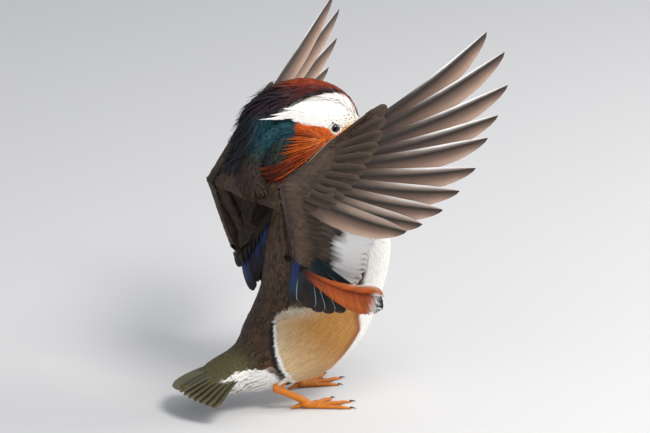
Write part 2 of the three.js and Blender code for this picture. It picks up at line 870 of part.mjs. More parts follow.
function tailFeathers() {
  const feathers = [];
  for (let i = 0; i < TAIL_PAIRS; i++) {
    for (const side of [1, -1]) {
      const share = (i + 0.5) / TAIL_PAIRS;
      const reach = TAIL_LENGTH - 14 * share ** 2;
      const turn = radians(TAIL_FAN * share);
      const drop = 0.55 * i;
      feathers.push({
        root: at(TAIL_START - 7, side * 19 * share, 34 - drop - 0.25 * (side > 0)),
        tip: at(
          TAIL_START - reach * Math.cos(turn),
          side * (19 * share + reach * Math.sin(turn)),
          17 - drop - 2.5 * share,
        ),
        face: towards(0.25, 0, 1),
        lead: towards(0, side, 0),
        widths: [7, 8],
        outline: ROUNDED,
        tilt: 7,
        arch: 2.5,
        shaftThick: 1.5,
      });
    }
  }
  return feathers;
}

// Coverts lie over and under the roots of the tail feathers
function tailCoverts() {
  const found = [];
  for (const [height, reach, rise, pairs] of [
    [40, 38, 26, 1],
  ]) {
    for (let i = 0; i < pairs; i++) {
      for (const side of [1, -1]) {
        const share = (i + 0.5) / pairs;
        found.push({
          root: at(TAIL_START - 3, side * 13 * share, height - 5 * share),
          tip: at(TAIL_START - reach, side * 17 * share, rise - 4 * share - 0.6 * (side > 0)),
          face: towards(-0.3, side * 0.3 * share, 1),
          lead: towards(0, side, 0),
          widths: [10, 10],
          outline: ROUNDED,
          tilt: 6,
          arch: 1.5,
          shaftThick: 1.2,
        });
      }
    }
  }
  return found;
}

function tailShape() {
  const lean = radians(12);
  const rows = [
    [TAIL_START, 31, 16, 22, 22],
    [-80, 29, 9, 19, 24],
    [-96, 25, 3, 12, 20],
    [-107, 21, 1.5, 5, 12],
  ];
  const rings = [];
  for (let r = 0; r < 5; r++) {
    const read = (column) => readRow(rows, column, r / 4);
    const top = towards(-Math.sin(lean), 0, Math.cos(lean));
    const ring = [read(4), read(2), read(3)];
    rings.push(ovalRing(at(read(0), 0, read(1)), towards(0, 1, 0), top, ...ring, 14));
  }
  const vanes = [...tailFeathers(), ...tailCoverts()].map((feather) => vane(feather));
  return fuse([loft(rings), ...vanes]).subtract(trunk(GAP));
}

// One leg: the shank runs from the toes back to the heel and turns up into the belly
const STEP = 24; // how far the left foot stands ahead of the right

function legPath(side) {
  const shift = side > 0 ? 0 : STEP;
  return {
    toes: at(-9 + shift, side * 29, 7 - BELLY_RISE),
    heel: at(-38 + shift, side * 27, 13),
    thigh: at(-18 + shift, side * 24, 36),
  };
}

function legShape(side) {
  const { toes, heel, thigh } = legPath(side);
  const start = between(toes, heel, 0.1);
  const pieces = [
    rod([start, between(toes, heel, 0.5), heel], [3.2, 3, 3.8], 8),
    ball(heel, 4.1, 8, 6),
    rod([heel, thigh], [3.9, 9], 8),
  ];
  return largest(fuse(pieces).subtract(trunk(GAP)));
}

// One webbed foot: three toes lie flat with skin between them, and the hind toe is raised
const TOE_LENGTHS = [40, 50, 47];
const TOE_TURNS = [-24, 2, 27];

function footShape(side) {
  const { toes, heel } = legPath(side);
  const joint = new THREE.Vector3(toes.x, toes.y, 0);
  const heading = (degrees) => {
    const turn = radians(degrees);
    return new THREE.Vector3(-side * Math.sin(turn), -Math.cos(turn), 0);
  };
  const pieces = [];
  const toeTips = [];
  TOE_LENGTHS.forEach((length, i) => {
    const along = heading(TOE_TURNS[i] + 4);
    const across = new THREE.Vector3(-along.y, along.x, 0);
    const rings = [0, 0.35, 0.75, 0.88, 1].map((share, k) => {
      const wide = [4.2, 3.1, 2.5, 1.8, 0.5][k];
      const high = [6.5, 4.5, 3.2, 2.6, 0.8][k];
      const middle = moved(joint, along, share * length);
      return [
        moved(middle, across, -wide),
        moved(middle, across, -wide, new THREE.Vector3(0, 0, 1), high * 0.55),
        moved(middle, across, -0.5 * wide, new THREE.Vector3(0, 0, 1), high),
        moved(middle, across, 0.5 * wide, new THREE.Vector3(0, 0, 1), high),
        moved(middle, across, wide, new THREE.Vector3(0, 0, 1), high * 0.55),
        moved(middle, across, wide),
      ];
    });
    pieces.push(loft(rings));
    toeTips.push(moved(joint, along, length * 0.84));
  });
  const webRoots = [];
  const webTips = [];
  for (let i = 0; i < 5; i++) {
    const share = i / 4;
    const notch = i % 2 === 1 ? 0.86 : 1;
    const tip =
      i % 2 === 1
        ? between(toeTips[(i - 1) / 2], toeTips[(i + 1) / 2], 0.5)
        : toeTips[i / 2];
    webRoots.push(moved(joint, heading(-24 + 51 * share), 3, new THREE.Vector3(0, 0, 1), 1.2));
    webTips.push(between(joint, tip, notch).setZ(0.9));
  }
  const up = new THREE.Vector3(0, 0, 1);
  pieces.push(fan(webRoots, webTips, webRoots.map(() => up), 1.6, 1.2, 2));
  pieces.push(ball(moved(joint, up, 4.4), 5.2, 8, 6));
  const inner = new THREE.Vector3(side, 0, 0);
  const knuckle = moved(joint, up, 4);
  const bend = moved(joint, inner, 1.5, heading(180), 5, up, 2.6);
  const claw = moved(joint, inner, 2.5, heading(180), 13, up, 0.6);
  pieces.push(rod([knuckle, bend, claw], [2.8, 2, 0.9], 8));
  return largest(fuse(pieces).subtract(grownShank(side)).subtract(floorBlock()));
}

function grownShank(side) {
  const { toes, heel } = legPath(side);
  const start = between(toes, heel, 0.1 - 0.009);
  return rod([start, between(toes, heel, 0.5), heel], [3.2 + GAP, 3 + GAP, 3.8 + GAP], 8);
}

// The ground below the feet, which nothing may pass
function floorBlock() {
  return bodyOf(new THREE.BoxGeometry(400, 400, 40), new THREE.Vector3(0, 0, -20));
}

const duck = new THREE.Group();

// A named node of the bird, made from a closed body.
function place(name, solid, colour, roughness) {
  const mesh = solid.getMesh();
  const geometry = new THREE.BufferGeometry();
  const places = new Float32Array(mesh.numVert * 3);
  for (let i = 0; i < mesh.numVert; i++) {
    places.set(mesh.vertProperties.subarray(i * mesh.numProp, i * mesh.numProp + 3), i * 3);
  }
  geometry.setAttribute("position", new THREE.BufferAttribute(places, 3));
  geometry.setIndex(new THREE.BufferAttribute(mesh.triVerts, 1));
  geometry.computeVertexNormals();
  const material = new THREE.MeshStandardMaterial({ color: colour, roughness, metalness: 0 });
  const node = new THREE.Mesh(geometry, material);
  node.name = name;
  duck.add(node);
}

// The head with its crest, cheek feathers and lids, hollowed for the eyes and clear of the neck.
function wholeHead() {
  const hanging = join([crestCore(), ...crestLocks(), ...cheekHackles(1), ...cheekHackles(-1)]);
  const clear = hanging.subtract(neckShape(GAP)).subtract(trunk(GAP));
  const sockets = join([ball(eyeCentre(1), EYE_RADIUS + GAP), ball(eyeCentre(-1), EYE_RADIUS + GAP)]);
  return largest(join([headShape(), clear, eyeLids(1), eyeLids(-1)]).subtract(sockets));
}

place("torso", trunk(), COLOURS.back, 0.8);
place("neck", largest(neckShape().subtract(headShape(GAP))), COLOURS.crown, 0.7);
place("head", wholeHead(), COLOURS.crown, 0.6);
place("bill_upper", upperBill(), COLOURS.bill, 0.4);
place("bill_lower", billHalf(false), COLOURS.bill, 0.4);
place("tail", tailShape(), COLOURS.tail, 0.7);
for (const [name, side] of [
  ["right", 1],
  ["left", -1],
]) {
  place("eye_" + name, ball(eyeCentre(side), EYE_RADIUS), COLOURS.eye, 0.1);
  const { upper, forearm, hand } = wingShapes(side);
  place("wing_" + name + "_upper", upper, COLOURS.back, 0.8);
  place("wing_" + name + "_forearm", forearm, COLOURS.flight, 0.7);
  place("wing_" + name + "_hand", hand, COLOURS.flight, 0.7);
  place("leg_" + name, legShape(side), COLOURS.foot, 0.5);
  place("foot_" + name, footShape(side), COLOURS.foot, 0.5);
}

// The frame's origin is on the floor, under the middle of the whole bird
const box = new THREE.Box3().setFromObject(duck);
duck.position.set(-(box.min.x + box.max.x) / 2, -(box.min.y + box.max.y) / 2, 0);

export default duck;
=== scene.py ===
import math

import bpy
import numpy as np
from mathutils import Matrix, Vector, kdtree


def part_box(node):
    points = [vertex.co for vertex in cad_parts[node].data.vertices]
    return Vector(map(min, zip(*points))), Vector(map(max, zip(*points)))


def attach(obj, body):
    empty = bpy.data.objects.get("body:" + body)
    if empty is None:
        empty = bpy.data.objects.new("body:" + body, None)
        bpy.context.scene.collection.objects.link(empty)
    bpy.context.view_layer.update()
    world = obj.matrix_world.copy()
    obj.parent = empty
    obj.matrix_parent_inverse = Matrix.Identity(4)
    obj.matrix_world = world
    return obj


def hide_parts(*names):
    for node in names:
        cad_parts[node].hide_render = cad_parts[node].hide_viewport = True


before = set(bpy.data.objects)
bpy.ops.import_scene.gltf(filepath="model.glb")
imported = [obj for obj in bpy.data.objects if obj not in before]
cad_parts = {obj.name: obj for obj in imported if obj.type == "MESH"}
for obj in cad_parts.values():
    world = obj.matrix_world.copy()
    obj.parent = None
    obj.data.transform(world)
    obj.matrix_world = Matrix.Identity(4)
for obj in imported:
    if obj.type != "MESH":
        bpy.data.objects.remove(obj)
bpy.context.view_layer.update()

# The bird's own frame: forward, right and up of a point between the feet, in millimetres.
# The two eyes give its place, as their middle lies on the head's middle plane. The head is
# turned to the right and looks slightly down.
MM = 0.001
BELLY_RISE = 10.0
HEAD_CENTRE = np.array([8.0, 0.0, 258.0])
HEAD_TURN = math.radians(15)
HEAD_DIP = math.radians(9)
EYE_AHEAD, EYE_RIGHT, EYE_UP = 22.0, 14.8, 5.5

head_ahead = np.array([
    math.cos(HEAD_TURN) * math.cos(HEAD_DIP),
    math.sin(HEAD_TURN) * math.cos(HEAD_DIP),
    -math.sin(HEAD_DIP),
])
head_right = np.array([-math.sin(HEAD_TURN), math.cos(HEAD_TURN), 0.0])
head_up = np.cross(head_ahead, head_right)


def on_head(ahead, right, up):
    """Places on the head, from ahead, right and up of its centre."""
    parts = np.stack(np.broadcast_arrays(ahead, right, up), -1)
    return HEAD_CENTRE + parts @ np.array([head_ahead, head_right, head_up])


def middle(node):
    """The middle of a fixed node's box, in metres."""
    low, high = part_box(node)
    return np.array((low + high) / 2)


def unshifted(points):
    """Bird millimetres turned into metres of the frame, without the frame's own shift."""
    p = np.asarray(points, float)
    return np.stack([-p[..., 1], -p[..., 0], p[..., 2] + BELLY_RISE], -1) * MM


shift = (middle("eye_right") + middle("eye_left")) / 2 - unshifted(on_head(EYE_AHEAD, 0, EYE_UP))


def placed(points):
    """Bird millimetres turned into metres of the frame."""
    return unshifted(points) + shift


def unit(v):
    """Vectors of length one."""
    return v / np.maximum(np.linalg.norm(v, axis=-1, keepdims=True), 1e-9)


# The body under the feathers: one skin over the tail's root, trunk, neck, head, arms and thighs.
# Each row of the trunk gives forward, up and lean of the spine, then depth of back and belly
# and half width, out to the tips of the feathers.
BODY_ROWS = np.array([
    [-107, 21, 12, 2, 5, 12],
    [-96, 25, 12, 4, 12, 20],
    [-80, 29, 12, 10, 19, 24],
    [-66, 31, 12, 16, 22, 22],
    [-51, 34, 18, 21, 27, 29],
    [-34, 40, 30, 34, 35, 38],
    [-9, 54, 45, 45, 49, 45],
    [10, 76, 58, 50, 56, 51],
    [22, 104, 70, 54, 57, 55],
    [29, 136, 82, 55, 59, 57],
    [29, 166, 95, 50, 55, 54],
    [23, 190, 103, 42, 45, 46],
    [17, 207, 105, 36, 34, 36],
    [9, 221, 104, 43, 29, 31],
    [3, 236, 98, 46, 26, 27],
    [6, 252, 88, 37, 22, 21],
], float)
BODY_POWER = 2.15


def read_rows(rows, place):
    """Smooth values between rows of numbers; place counts rows and may run past either end."""
    place = np.asarray(place, float)
    last = len(rows) - 1
    inside = np.clip(place, 0, last)
    i = np.clip(np.floor(inside).astype(int), 0, last - 1)
    t = (inside - i)[..., None]
    a, b, c, d = (rows[np.clip(i + k, 0, last)] for k in (-1, 0, 1, 2))
    smooth = b + 0.5 * t * (c - a + t * (2 * a - 5 * b + 4 * c - d + t * (3 * (b - c) + d - a)))
    before = np.minimum(place, 0)[..., None] * (rows[1] - rows[0])
    after = np.maximum(place - last, 0)[..., None] * (rows[-1] - rows[-2])
    return smooth + before + after


def rounded(v, power):
    """The sine or cosine of a circle that is drawn out to a squarer oval."""
    return np.sign(v) * np.abs(v) ** (2 / power)


def body_surface(place, angle, grow=0.0):
    """Points round the spine: angle 0 is the right side, a quarter turn up is the back."""
    row = read_rows(BODY_ROWS, place)
    lean = np.radians(row[..., 2])
    side, rise = rounded(np.cos(angle), BODY_POWER), rounded(np.sin(angle), BODY_POWER)
    depth = np.where(rise > 0, row[..., 3], row[..., 4]) + grow
    width = (row[..., 5] + grow) * side
    return np.stack([
        row[..., 0] - np.sin(lean) * depth * rise,
        width,
        row[..., 1] + np.cos(lean) * depth * rise,
    ], -1)


def mesh_piece(name, points, faces, material, smooth=True):
    """An object from points in bird millimetres and a list of equal-sided face arrays."""
    inside_out = 0.0
    for f in faces:
        for k in range(1, f.shape[1] - 1):
            a, b, c = points[f[:, 0]], points[f[:, k]], points[f[:, k + 1]]
            inside_out += (a * np.cross(b, c)).sum()
    if inside_out > 0:
        faces = [f[:, ::-1] for f in faces]
    mesh = bpy.data.meshes.new(name)
    mesh.vertices.add(len(points))
    mesh.vertices.foreach_set("co", placed(points).astype(np.float32).ravel())
    loops = np.concatenate([f.ravel() for f in faces])
    sizes = np.concatenate([np.full(len(f), f.shape[1]) for f in faces])
    mesh.loops.add(len(loops))
    mesh.loops.foreach_set("vertex_index", loops.astype(np.int32))
    mesh.polygons.add(len(sizes))
    starts = np.concatenate([[0], np.cumsum(sizes)[:-1]])
    mesh.polygons.foreach_set("loop_start", starts.astype(np.int32))
    mesh.polygons.foreach_set("loop_total", sizes.astype(np.int32))
    mesh.polygons.foreach_set("use_smooth", np.full(len(sizes), smooth))
    mesh.update(calc_edges=True)
    mesh.materials.append(material)
    made = bpy.data.objects.new(name, mesh)
    bpy.context.scene.collection.objects.link(made)
    return made


def linear(code):
    """A colour written as six hex digits, as linear red, green and blue."""
    s = np.array([int(code[i:i + 2], 16) for i in (0, 2, 4)]) / 255
    return np.where(s <= 0.04045, s / 12.92, ((s + 0.055) / 1.055) ** 2.4)


def node_material(name, roughness, specular=0.3):
    """A new material with its shader, and helpers to add nodes and join their sockets."""
    material = bpy.data.materials.new(name)
    material.use_nodes = True
    tree = material.node_tree
    shader = tree.nodes["Principled BSDF"]
    shader.inputs["Roughness"].default_value = roughness
    shader.inputs["Specular IOR Level"].default_value = specular

    def add(kind, **values):
        node = tree.nodes.new("ShaderNode" + kind)
        for key, value in values.items():
            if hasattr(node, key):
                setattr(node, key, value)
            else:
                node.inputs[key.replace("_", " ")].default_value = value
        return node

    def join(source, output, target, entry):
        tree.links.new(source.outputs[output], target.inputs[entry])

    return material, shader, add, join


def ranged(add, join, source, low, high, first=0.0, last=1.0):
    """A node that stretches a number, which runs from first to last, to run from low to high."""
    spread = add("MapRange")
    join(*source, spread, "Value")
    for entry, value in (("From Min", first), ("From Max", last), ("To Min", low), ("To Max", high)):
        spread.inputs[entry].default_value = value
    return spread


def times(add, join, colour, factor):
    """A node that multiplies a colour by a factor, each given as a node and its output."""
    product = add("Mix", data_type="RGBA", blend_type="MULTIPLY")
    product.inputs["Factor"].default_value = 1
    join(*colour, product, "A")
    join(*factor, product, "B")
    return product


def raised(add, join, shader, height, strength, depth):
    """Gives a finish its relief, from a height given as a node and its output."""
    bump = add("Bump", Strength=strength, Distance=depth)
    join(*height, bump, "Height")
    join(bump, "Normal", shader, "Normal")


# How far the fine lines of a vane lean back from its shaft and wander, and how deep they are
BARB_SLANT, BARB_WANDER, BARB_DEPTH = -0.45, 0.10, 0.0003


def plumage(name, barbs=26.0, dark=0.25, bars=0.0, roughness=0.62, relief=0.25, specular=0.25):
    """Feather finish: painted colour, fine barbs running out from the shaft, and wavy cross bars."""
    material, shader, add, join = node_material(name, roughness, specular)
    colour = add("Attribute", attribute_name="paint")
    lie = add("Attribute", attribute_name="lie")
    split = add("SeparateXYZ")
    join(lie, "Vector", split, 0)
    across = add("Math", operation="ABSOLUTE")
    join(split, "X", across, 0)
    slant = add("Math", operation="MULTIPLY_ADD")
    join(across, 0, slant, 0)
    slant.inputs[1].default_value = BARB_SLANT
    join(split, "Y", slant, 2)
    cloud = add("TexNoise", Scale=900.0, Detail=2.0)
    place = add("TexCoord")
    join(place, "Object", cloud, "Vector")
    wander = add("Math", operation="MULTIPLY_ADD")
    join(cloud, "Fac", wander, 0)
    wander.inputs[1].default_value = BARB_WANDER
    join(slant, 0, wander, 2)
    wave = add("Math", operation="MULTIPLY")
    join(wander, 0, wave, 0)
    wave.inputs[1].default_value = barbs * 2 * math.pi
    line = add("Math", operation="SINE")
    join(wave, 0, line, 0)
    shade = ranged(add, join, (line, 0), 1 - dark, 1, -1)
    painted = times(add, join, (colour, "Color"), (shade, 0))
    if bars:
        ripple = add("TexWave", Scale=bars, Distortion=5.0, Detail=2.0)
        ripple.inputs["Detail Scale"].default_value = 3
        join(place, "Object", ripple, "Vector")
        depth = ranged(add, join, (ripple, "Fac"), 0.84, 1.08)
        painted = times(add, join, (painted, "Result"), (depth, 0))
    join(painted, "Result", shader, "Base Color")
    raised(add, join, shader, (line, 0), relief, BARB_DEPTH)
    return material


PAINT = {}


def add_paints(**codes):
    """Adds named colours of the plumage, each written as six hex digits."""
    PAINT.update({name: linear(code) for name, code in codes.items()})


add_paints(mantle="493626", rump="3b2a1d", brown_edge="6b4f35", olive="565133", chestnut="8a4318",
           buff="c08a48", buff_pale="d3b487", flank_top="cdbfa8", black="0d0b0c", white="faf7f1",
           maroon="4d1524", neck="7d2f16", teal="063d47", moss="16231a", night="0b0b14")


def mixed(a, b, share):
    """Colours part of the way from a to b."""
    share = np.asarray(share, float)[..., None]
    return a * (1 - share) + b * share


def soft_step(value, edge, width):
    """0 below an edge and 1 above it, with a soft border."""
    return np.clip((value - edge) / width + 0.5, 0, 1)


# Where the markings of the body lie: by row along the spine and angle up from the side
FLANK_REAR = np.array([[-90, 5.5], [-64, 5.2], [-35, 4.98], [-3, 4.85], [21, 5.0], [37, 5.25], [54, 5.7],
                       [64, 6.15]])
FLANK_TOP = np.array([[-30, 7.9], [3, 7.68], [23, 7.45], [37, 7.12], [52, 6.73], [62, 6.23]])
BELLY_EDGE = np.array([[4.8, -78], [5.3, -72], [5.7, -62], [6.2, -45], [6.7, -38], [7.2, -34], [7.5, -22],
                       [8.3, -12]])
BREAST_EDGE = np.array([[-90, 9.75], [-82, 9.8], [-75, 9.95], [-69, 10.25], [-64, 10.55]])
BREAST_BARS = (9.75, 10.15)


def body_paint(place, angle, draw):
    """Colours of the body's feathers at their roots and tips."""
    up = np.degrees(np.arcsin(np.clip(np.sin(angle), -1, 1)))
    rear = np.interp(up, *FLANK_REAR.T)
    top = np.interp(up, *FLANK_TOP.T)
    belly = np.interp(place, *BELLY_EDGE.T)
    speck = (0.7 + 0.6 * draw)[..., None]
    root = mixed(PAINT["rump"], PAINT["mantle"], soft_step(place, 7.5, 3)) * (0.35 + 1.3 * draw)[..., None]
    tip = mixed(root, PAINT["brown_edge"], 0.1 + 0.5 * draw ** 2)
    olive = soft_step(-place, -3.2, 1.4)
    root = mixed(root, PAINT["olive"] * 0.7, olive)
    tip = mixed(tip, PAINT["olive"] * 1.1, olive)

    def cover(colour, share, tint=1.0):
        nonlocal root, tip
        root = mixed(root, colour * tint, share)
        tip = mixed(tip, colour, share)

    wine = soft_step(-up, -8, 24) * soft_step(place, 3.7, 0.5) * soft_step(-place, -5.3, 0.5)
    cover(PAINT["chestnut"] * 0.5, 0.8 * wine)
    under = np.interp(place, [-0.3, 0.4, 1.2, 2, 3, 4, 4.4, 4.8], [-90, -50, 10, 22, 12, 2, -14, -40])
    cover(PAINT["white"], soft_step(under - up, 0, 4) * soft_step(-place, -4.9, 0.15))
    inside = place - rear
    lower = soft_step(up, -64, 6) * soft_step(-up, -61, 3)
    cover(PAINT["black"], soft_step(inside, -0.46, 0.06) * soft_step(-inside, -0.05, 0.04) * lower)
    gold = mixed(PAINT["buff_pale"], PAINT["buff"], soft_step(inside, 0.9, 1.3))
    gold = mixed(gold, PAINT["flank_top"], soft_step(place - top, -0.5, 0.6) * soft_step(up, 26, 30))
    gold = mixed(gold, PAINT["chestnut"], soft_step(belly + 7 - up, 0, 10) * soft_step(place, 6.3, 0.8))
    panel = soft_step(inside, -0.02, 0.04) * lower * soft_step(top - place, 0, 0.06)
    cover(gold * (0.88 + 0.24 * draw)[..., None], panel, 0.9)
    cover(PAINT["white"], soft_step(inside, -0.15, 0.04) * soft_step(-inside, 0.0, 0.04) * lower
          * soft_step(top - place, -0.2, 0.1))
    white_under = soft_step(belly - up, 0, 5) * soft_step(place, rear + 0.02, 0.06)
    breast_edge = np.interp(up, *BREAST_EDGE.T)
    cover(PAINT["white"], white_under * soft_step(breast_edge - place, 0, 0.15))
    flat = soft_step(-up, -38, 16)
    breast = soft_step(place - breast_edge, 0, 0.15) * flat
    cover(PAINT["maroon"] * speck, breast * soft_step(-place, -12.6, 0.8))
    side = soft_step(up, -48, 8) * soft_step(-up, -30, 8)
    for start in BREAST_BARS:
        border = soft_step(place, start - 0.1, 0.04) * soft_step(-place, -start - 0.3, 0.04)
        cover(PAINT["black"], border * side)
        cover(PAINT["white"], soft_step(place, start, 0.04) * soft_step(-place, -start - 0.19, 0.04) * side)
    collar = soft_step(place, 12.0, 0.6)
    cover(PAINT["neck"] * speck, collar * soft_step(-up, 4, 20))
    nape = soft_step(place, 13.3, 0.7) * soft_step(up, -20, 22)
    green = mixed(PAINT["teal"], PAINT["moss"], soft_step(-place, -14.9, 0.7))
    cover(mixed(green * speck, PAINT["night"] * speck, soft_step(up, 68, 18)), nape)
    return root, tip


# One ring of a small feather's section: across, and height above the shaft's line
SMALL_RING = np.array([[-1, 0], [0, 1], [1, 0], [0, -0.5]], float)
TIP_THICKNESS = 0.45
BAKE_PATCH = 0.003


def give_paint(mesh, colours):
    """Paints every corner point of a mesh."""
    rgba = np.ones((len(mesh.vertices), 4), np.float32)
    rgba[:, :3] = colours
    mesh.attributes.new("paint", "FLOAT_COLOR", "POINT").data.foreach_set("color", rgba.ravel())


def feather_piece(name, spine, normal, half, paint, bake, material, ring=SMALL_RING, thick=0.35, camber=0.0):
    """One object of many closed vanes, each a row of rings along its shaft.

    spine and normal: feather, station, 3. half: feather, station, 2 for the width to each side.
    paint: feather, station, ring point, 3, or feather, station, 3. bake: feather, 2.
    """
    count, stations = spine.shape[:2]
    sides = len(ring)
    along = unit(np.gradient(spine, axis=1))
    upright = unit(normal - along * (normal * along).sum(-1, keepdims=True))
    across = np.cross(along, upright)
    x = ring[:, 0]
    wide = np.where(x[None, None] < 0, half[..., :1], half[..., 1:]) * x
    taper = np.linspace(1, TIP_THICKNESS, stations)[None, :, None]
    high = ring[:, 1] * thick * taper - camber * np.abs(wide) * np.abs(x)
    points = spine[:, :, None] + across[:, :, None] * wide[..., None] + upright[:, :, None] * high[..., None]
    block = stations * sides
    r, s = np.meshgrid(np.arange(stations - 1), np.arange(sides), indexing="ij")
    a = (r * sides + s).ravel()
    b = (r * sides + (s + 1) % sides).ravel()
    quads = np.stack([a, b, b + sides, a + sides], -1)
    caps = np.stack([np.arange(sides)[::-1], np.arange(sides) + block - sides])
    first = (np.arange(count) * block)[:, None, None]
    faces = [(first + quads).reshape(-1, 4), (first + caps).reshape(-1, sides)]
    made = mesh_piece(name, points.reshape(-1, 3), faces, material)
    mesh = made.data
    if paint.ndim == 3:
        paint = np.repeat(paint[:, :, None], sides, 2)
    ends = np.empty(2 * len(mesh.edges), np.int32)
    mesh.edges.foreach_get("vertices", ends)
    spot = (ends % block % sides).reshape(-1, 2)
    rim = (spot[:, 0] == spot[:, 1]) & (np.abs(x)[spot[:, 0]] == 1)
    mesh.attributes.new("sharp_edge", "BOOLEAN", "EDGE").data.foreach_set("value", rim)
    give_paint(mesh, np.clip(paint, 0, 1).reshape(-1, 3))
    lie = np.stack(np.broadcast_arrays(
        x[None, None], np.linspace(0, 1, stations)[None, :, None], np.zeros((count, 1, 1))), -1)
    layer = mesh.attributes.new("lie", "FLOAT_VECTOR", "POINT")
    layer.data.foreach_set("vector", lie.astype(np.float32).ravel())
    patch = (bake[:, None, None] + BAKE_PATCH / 2 * (lie[..., :2] * [1, 2] - [0, 1])).reshape(-1, 2)
    corner = np.empty(len(mesh.loops), np.int32)
    mesh.loops.foreach_get("vertex_index", corner)
    unwrap = mesh.uv_layers.new(name="OFBake")
    unwrap.data.foreach_set("uv", np.clip(patch, 0, 1)[corner].astype(np.float32).ravel())
    return made


def dress(piece, slot, *nodes):
    """A finished piece rides on the bird and may stand for fixed nodes; its slot is not used."""
    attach(piece, "root")
    if nodes:
        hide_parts(*nodes)
    return piece


# The trunk's coat: small rounded vanes in staggered rings, each laid on the form from its root
# towards the tail. They are short on the neck, long and silky on the flanks and belly.
STATIONS = np.array([0.0, 0.3, 0.62, 0.86, 1.0])
ROUND_TIP = np.array([0.35, 0.9, 1.0, 0.78, 0.28])
SILKY_TIP = np.array([0.4, 0.95, 0.85, 0.5, 0.12])
skin_roots, skin_paints = [], []


def body_middle(place, angle):
    row = read_rows(BODY_ROWS, place)
    return np.stack([row[..., 0], 0 * row[..., 0], row[..., 1]], -1)


def form_normal(surface, middle_line, u, v):
    """Outward normals of a form, found from small steps along its two coordinates."""
    step = 1e-3
    along = surface(u + step, v) - surface(u - step, v)
    around = surface(u, v + step) - surface(u, v - step)
    normal = unit(np.cross(along, around))
    away = surface(u, v) - middle_line(u, v)
    return normal * np.sign((normal * away).sum(-1, keepdims=True) + 1e-12)


def laid_path(surface, u, v, size, sign, turn, stops):
    """Coordinates of points along each feather as it runs over a form, and bends by turn."""
    def run(step_u, step_v):
        here, step = (us[-1], vs[-1]), 0.01
        ahead = surface(here[0] + step * step_u, here[1] + step * step_v)
        behind = surface(here[0] - step * step_u, here[1] - step * step_v)
        return np.linalg.norm(ahead - behind, axis=-1) / (2 * step)

    us, vs = [u], [v]
    for reach in size * np.diff(stops)[:, None]:
        along = sign * reach * np.cos(turn) / np.maximum(run(1, 0), 1e-3)
        around = reach * np.sin(turn) / np.maximum(run(0, 1), 4.0)
        us.append(us[-1] + along)
        vs.append(vs[-1] + around)
    return np.stack(us, -1), np.stack(vs, -1)


def staggered(surface, low, high, gap_along, gap_round, rng, first=-math.pi, last=math.pi):
    """Roots in staggered rows over a form: rows gap_along apart, feathers gap_round apart in a row."""
    fine = np.linspace(low, high, 400)
    around = np.linspace(first, last, 25)
    grid = surface(fine[:, None], around[None])
    reach = np.concatenate([[0], np.cumsum(np.linalg.norm(np.diff(grid, axis=0), axis=-1).mean(1))])
    girth = np.linalg.norm(np.diff(grid, axis=1), axis=-1).sum(1)
    us, vs = [], []
    for k, stop in enumerate(np.arange(0, reach[-1], gap_along)):
        u = np.interp(stop, reach, fine)
        number = max(int(np.interp(stop, reach, girth) / gap_round), 3)
        share = (np.arange(number) + 0.5 * (k % 2) + rng.uniform(-0.25, 0.25, number)) / number
        us.append(u + rng.uniform(-0.35, 0.35, number) * gap_along * (high - low) / reach[-1])
        vs.append(first + (last - first) * share)
    return np.concatenate(us), np.concatenate(vs)


def lay_coat(name, surface, middle_line, u, v, size, half, paint, bake, material, rng, slot,
             sign=-1, turn=None, profile=ROUND_TIP, lift=(-1.2, 0.2, 0.7, 0.9, 0.7), spare=0.35,
             camber=0.1, stops=STATIONS, thick=0.35, local=0.8):
    """A field of feathers over a form, as one piece that rides on the bird."""
    count = len(u)
    size = size * rng.uniform(0.87, 1.13, count)
    turn = (0 if turn is None else turn) + rng.normal(0, 0.09, count)
    us, vs = laid_path(surface, u, v, size, sign, turn, stops)
    spine, normal = surface(us, vs), form_normal(surface, middle_line, us, vs)
    rise = np.array(lift) + (rng.uniform(-0.3, 1, count) * spare)[:, None] * stops
    spine = spine + normal * rise[..., None]
    width = (half * rng.uniform(0.87, 1.13, count))[:, None] * profile
    draw = rng.random(count)
    root, tip = paint(u, v, draw)
    far_root, far_tip = paint(us[:, -1], vs[:, -1], draw)
    fade = stops[None, :, None]
    whole = far_root[:, None] * (1 - fade) + far_tip[:, None] * fade
    here_root, here_tip = paint(us, vs, np.repeat(draw[:, None], len(stops), 1))
    here = here_root * (1 - fade) + here_tip * fade
    shades = here * local + whole * (1 - local)
    piece = feather_piece(name, spine, normal, np.repeat(width[..., None], 2, -1), shades,
                          bake(u, v), material, thick=thick, camber=camber)
    skin_roots.append(spine[:, 0])
    skin_paints.append(root)
    return dress(piece, slot)


def body_bake(place, angle):
    return np.stack([0.02 + 0.96 * (angle / (2 * math.pi) + 0.5) % 1.0, 0.02 + 0.96 * (place + 0.5) / 16], -1)


def upper_side(place, angle):
    return np.sin(angle) > np.sin(np.radians(np.interp(place, [4.7, 5.2, 6.2, 8], [66, 66, 62, 20])))


def body_coat(name, finish, rows, gaps, length, half, seed, side=None, around=(-math.pi, math.pi),
              slot="body_plumage", **more):
    """A stretch of the trunk's coat, on both sides or only above or below the flanks' top edge."""
    rng = np.random.default_rng(seed)
    place, angle = staggered(body_surface, *rows, *gaps, rng, *around)
    if side is not None:
        chosen = upper_side(place, angle) == (side == "upper")
        place, angle = place[chosen], angle[chosen]
    lay_coat(name, body_surface, body_middle, place, angle, length, half, body_paint, body_bake, finish,
             rng, slot, **more)


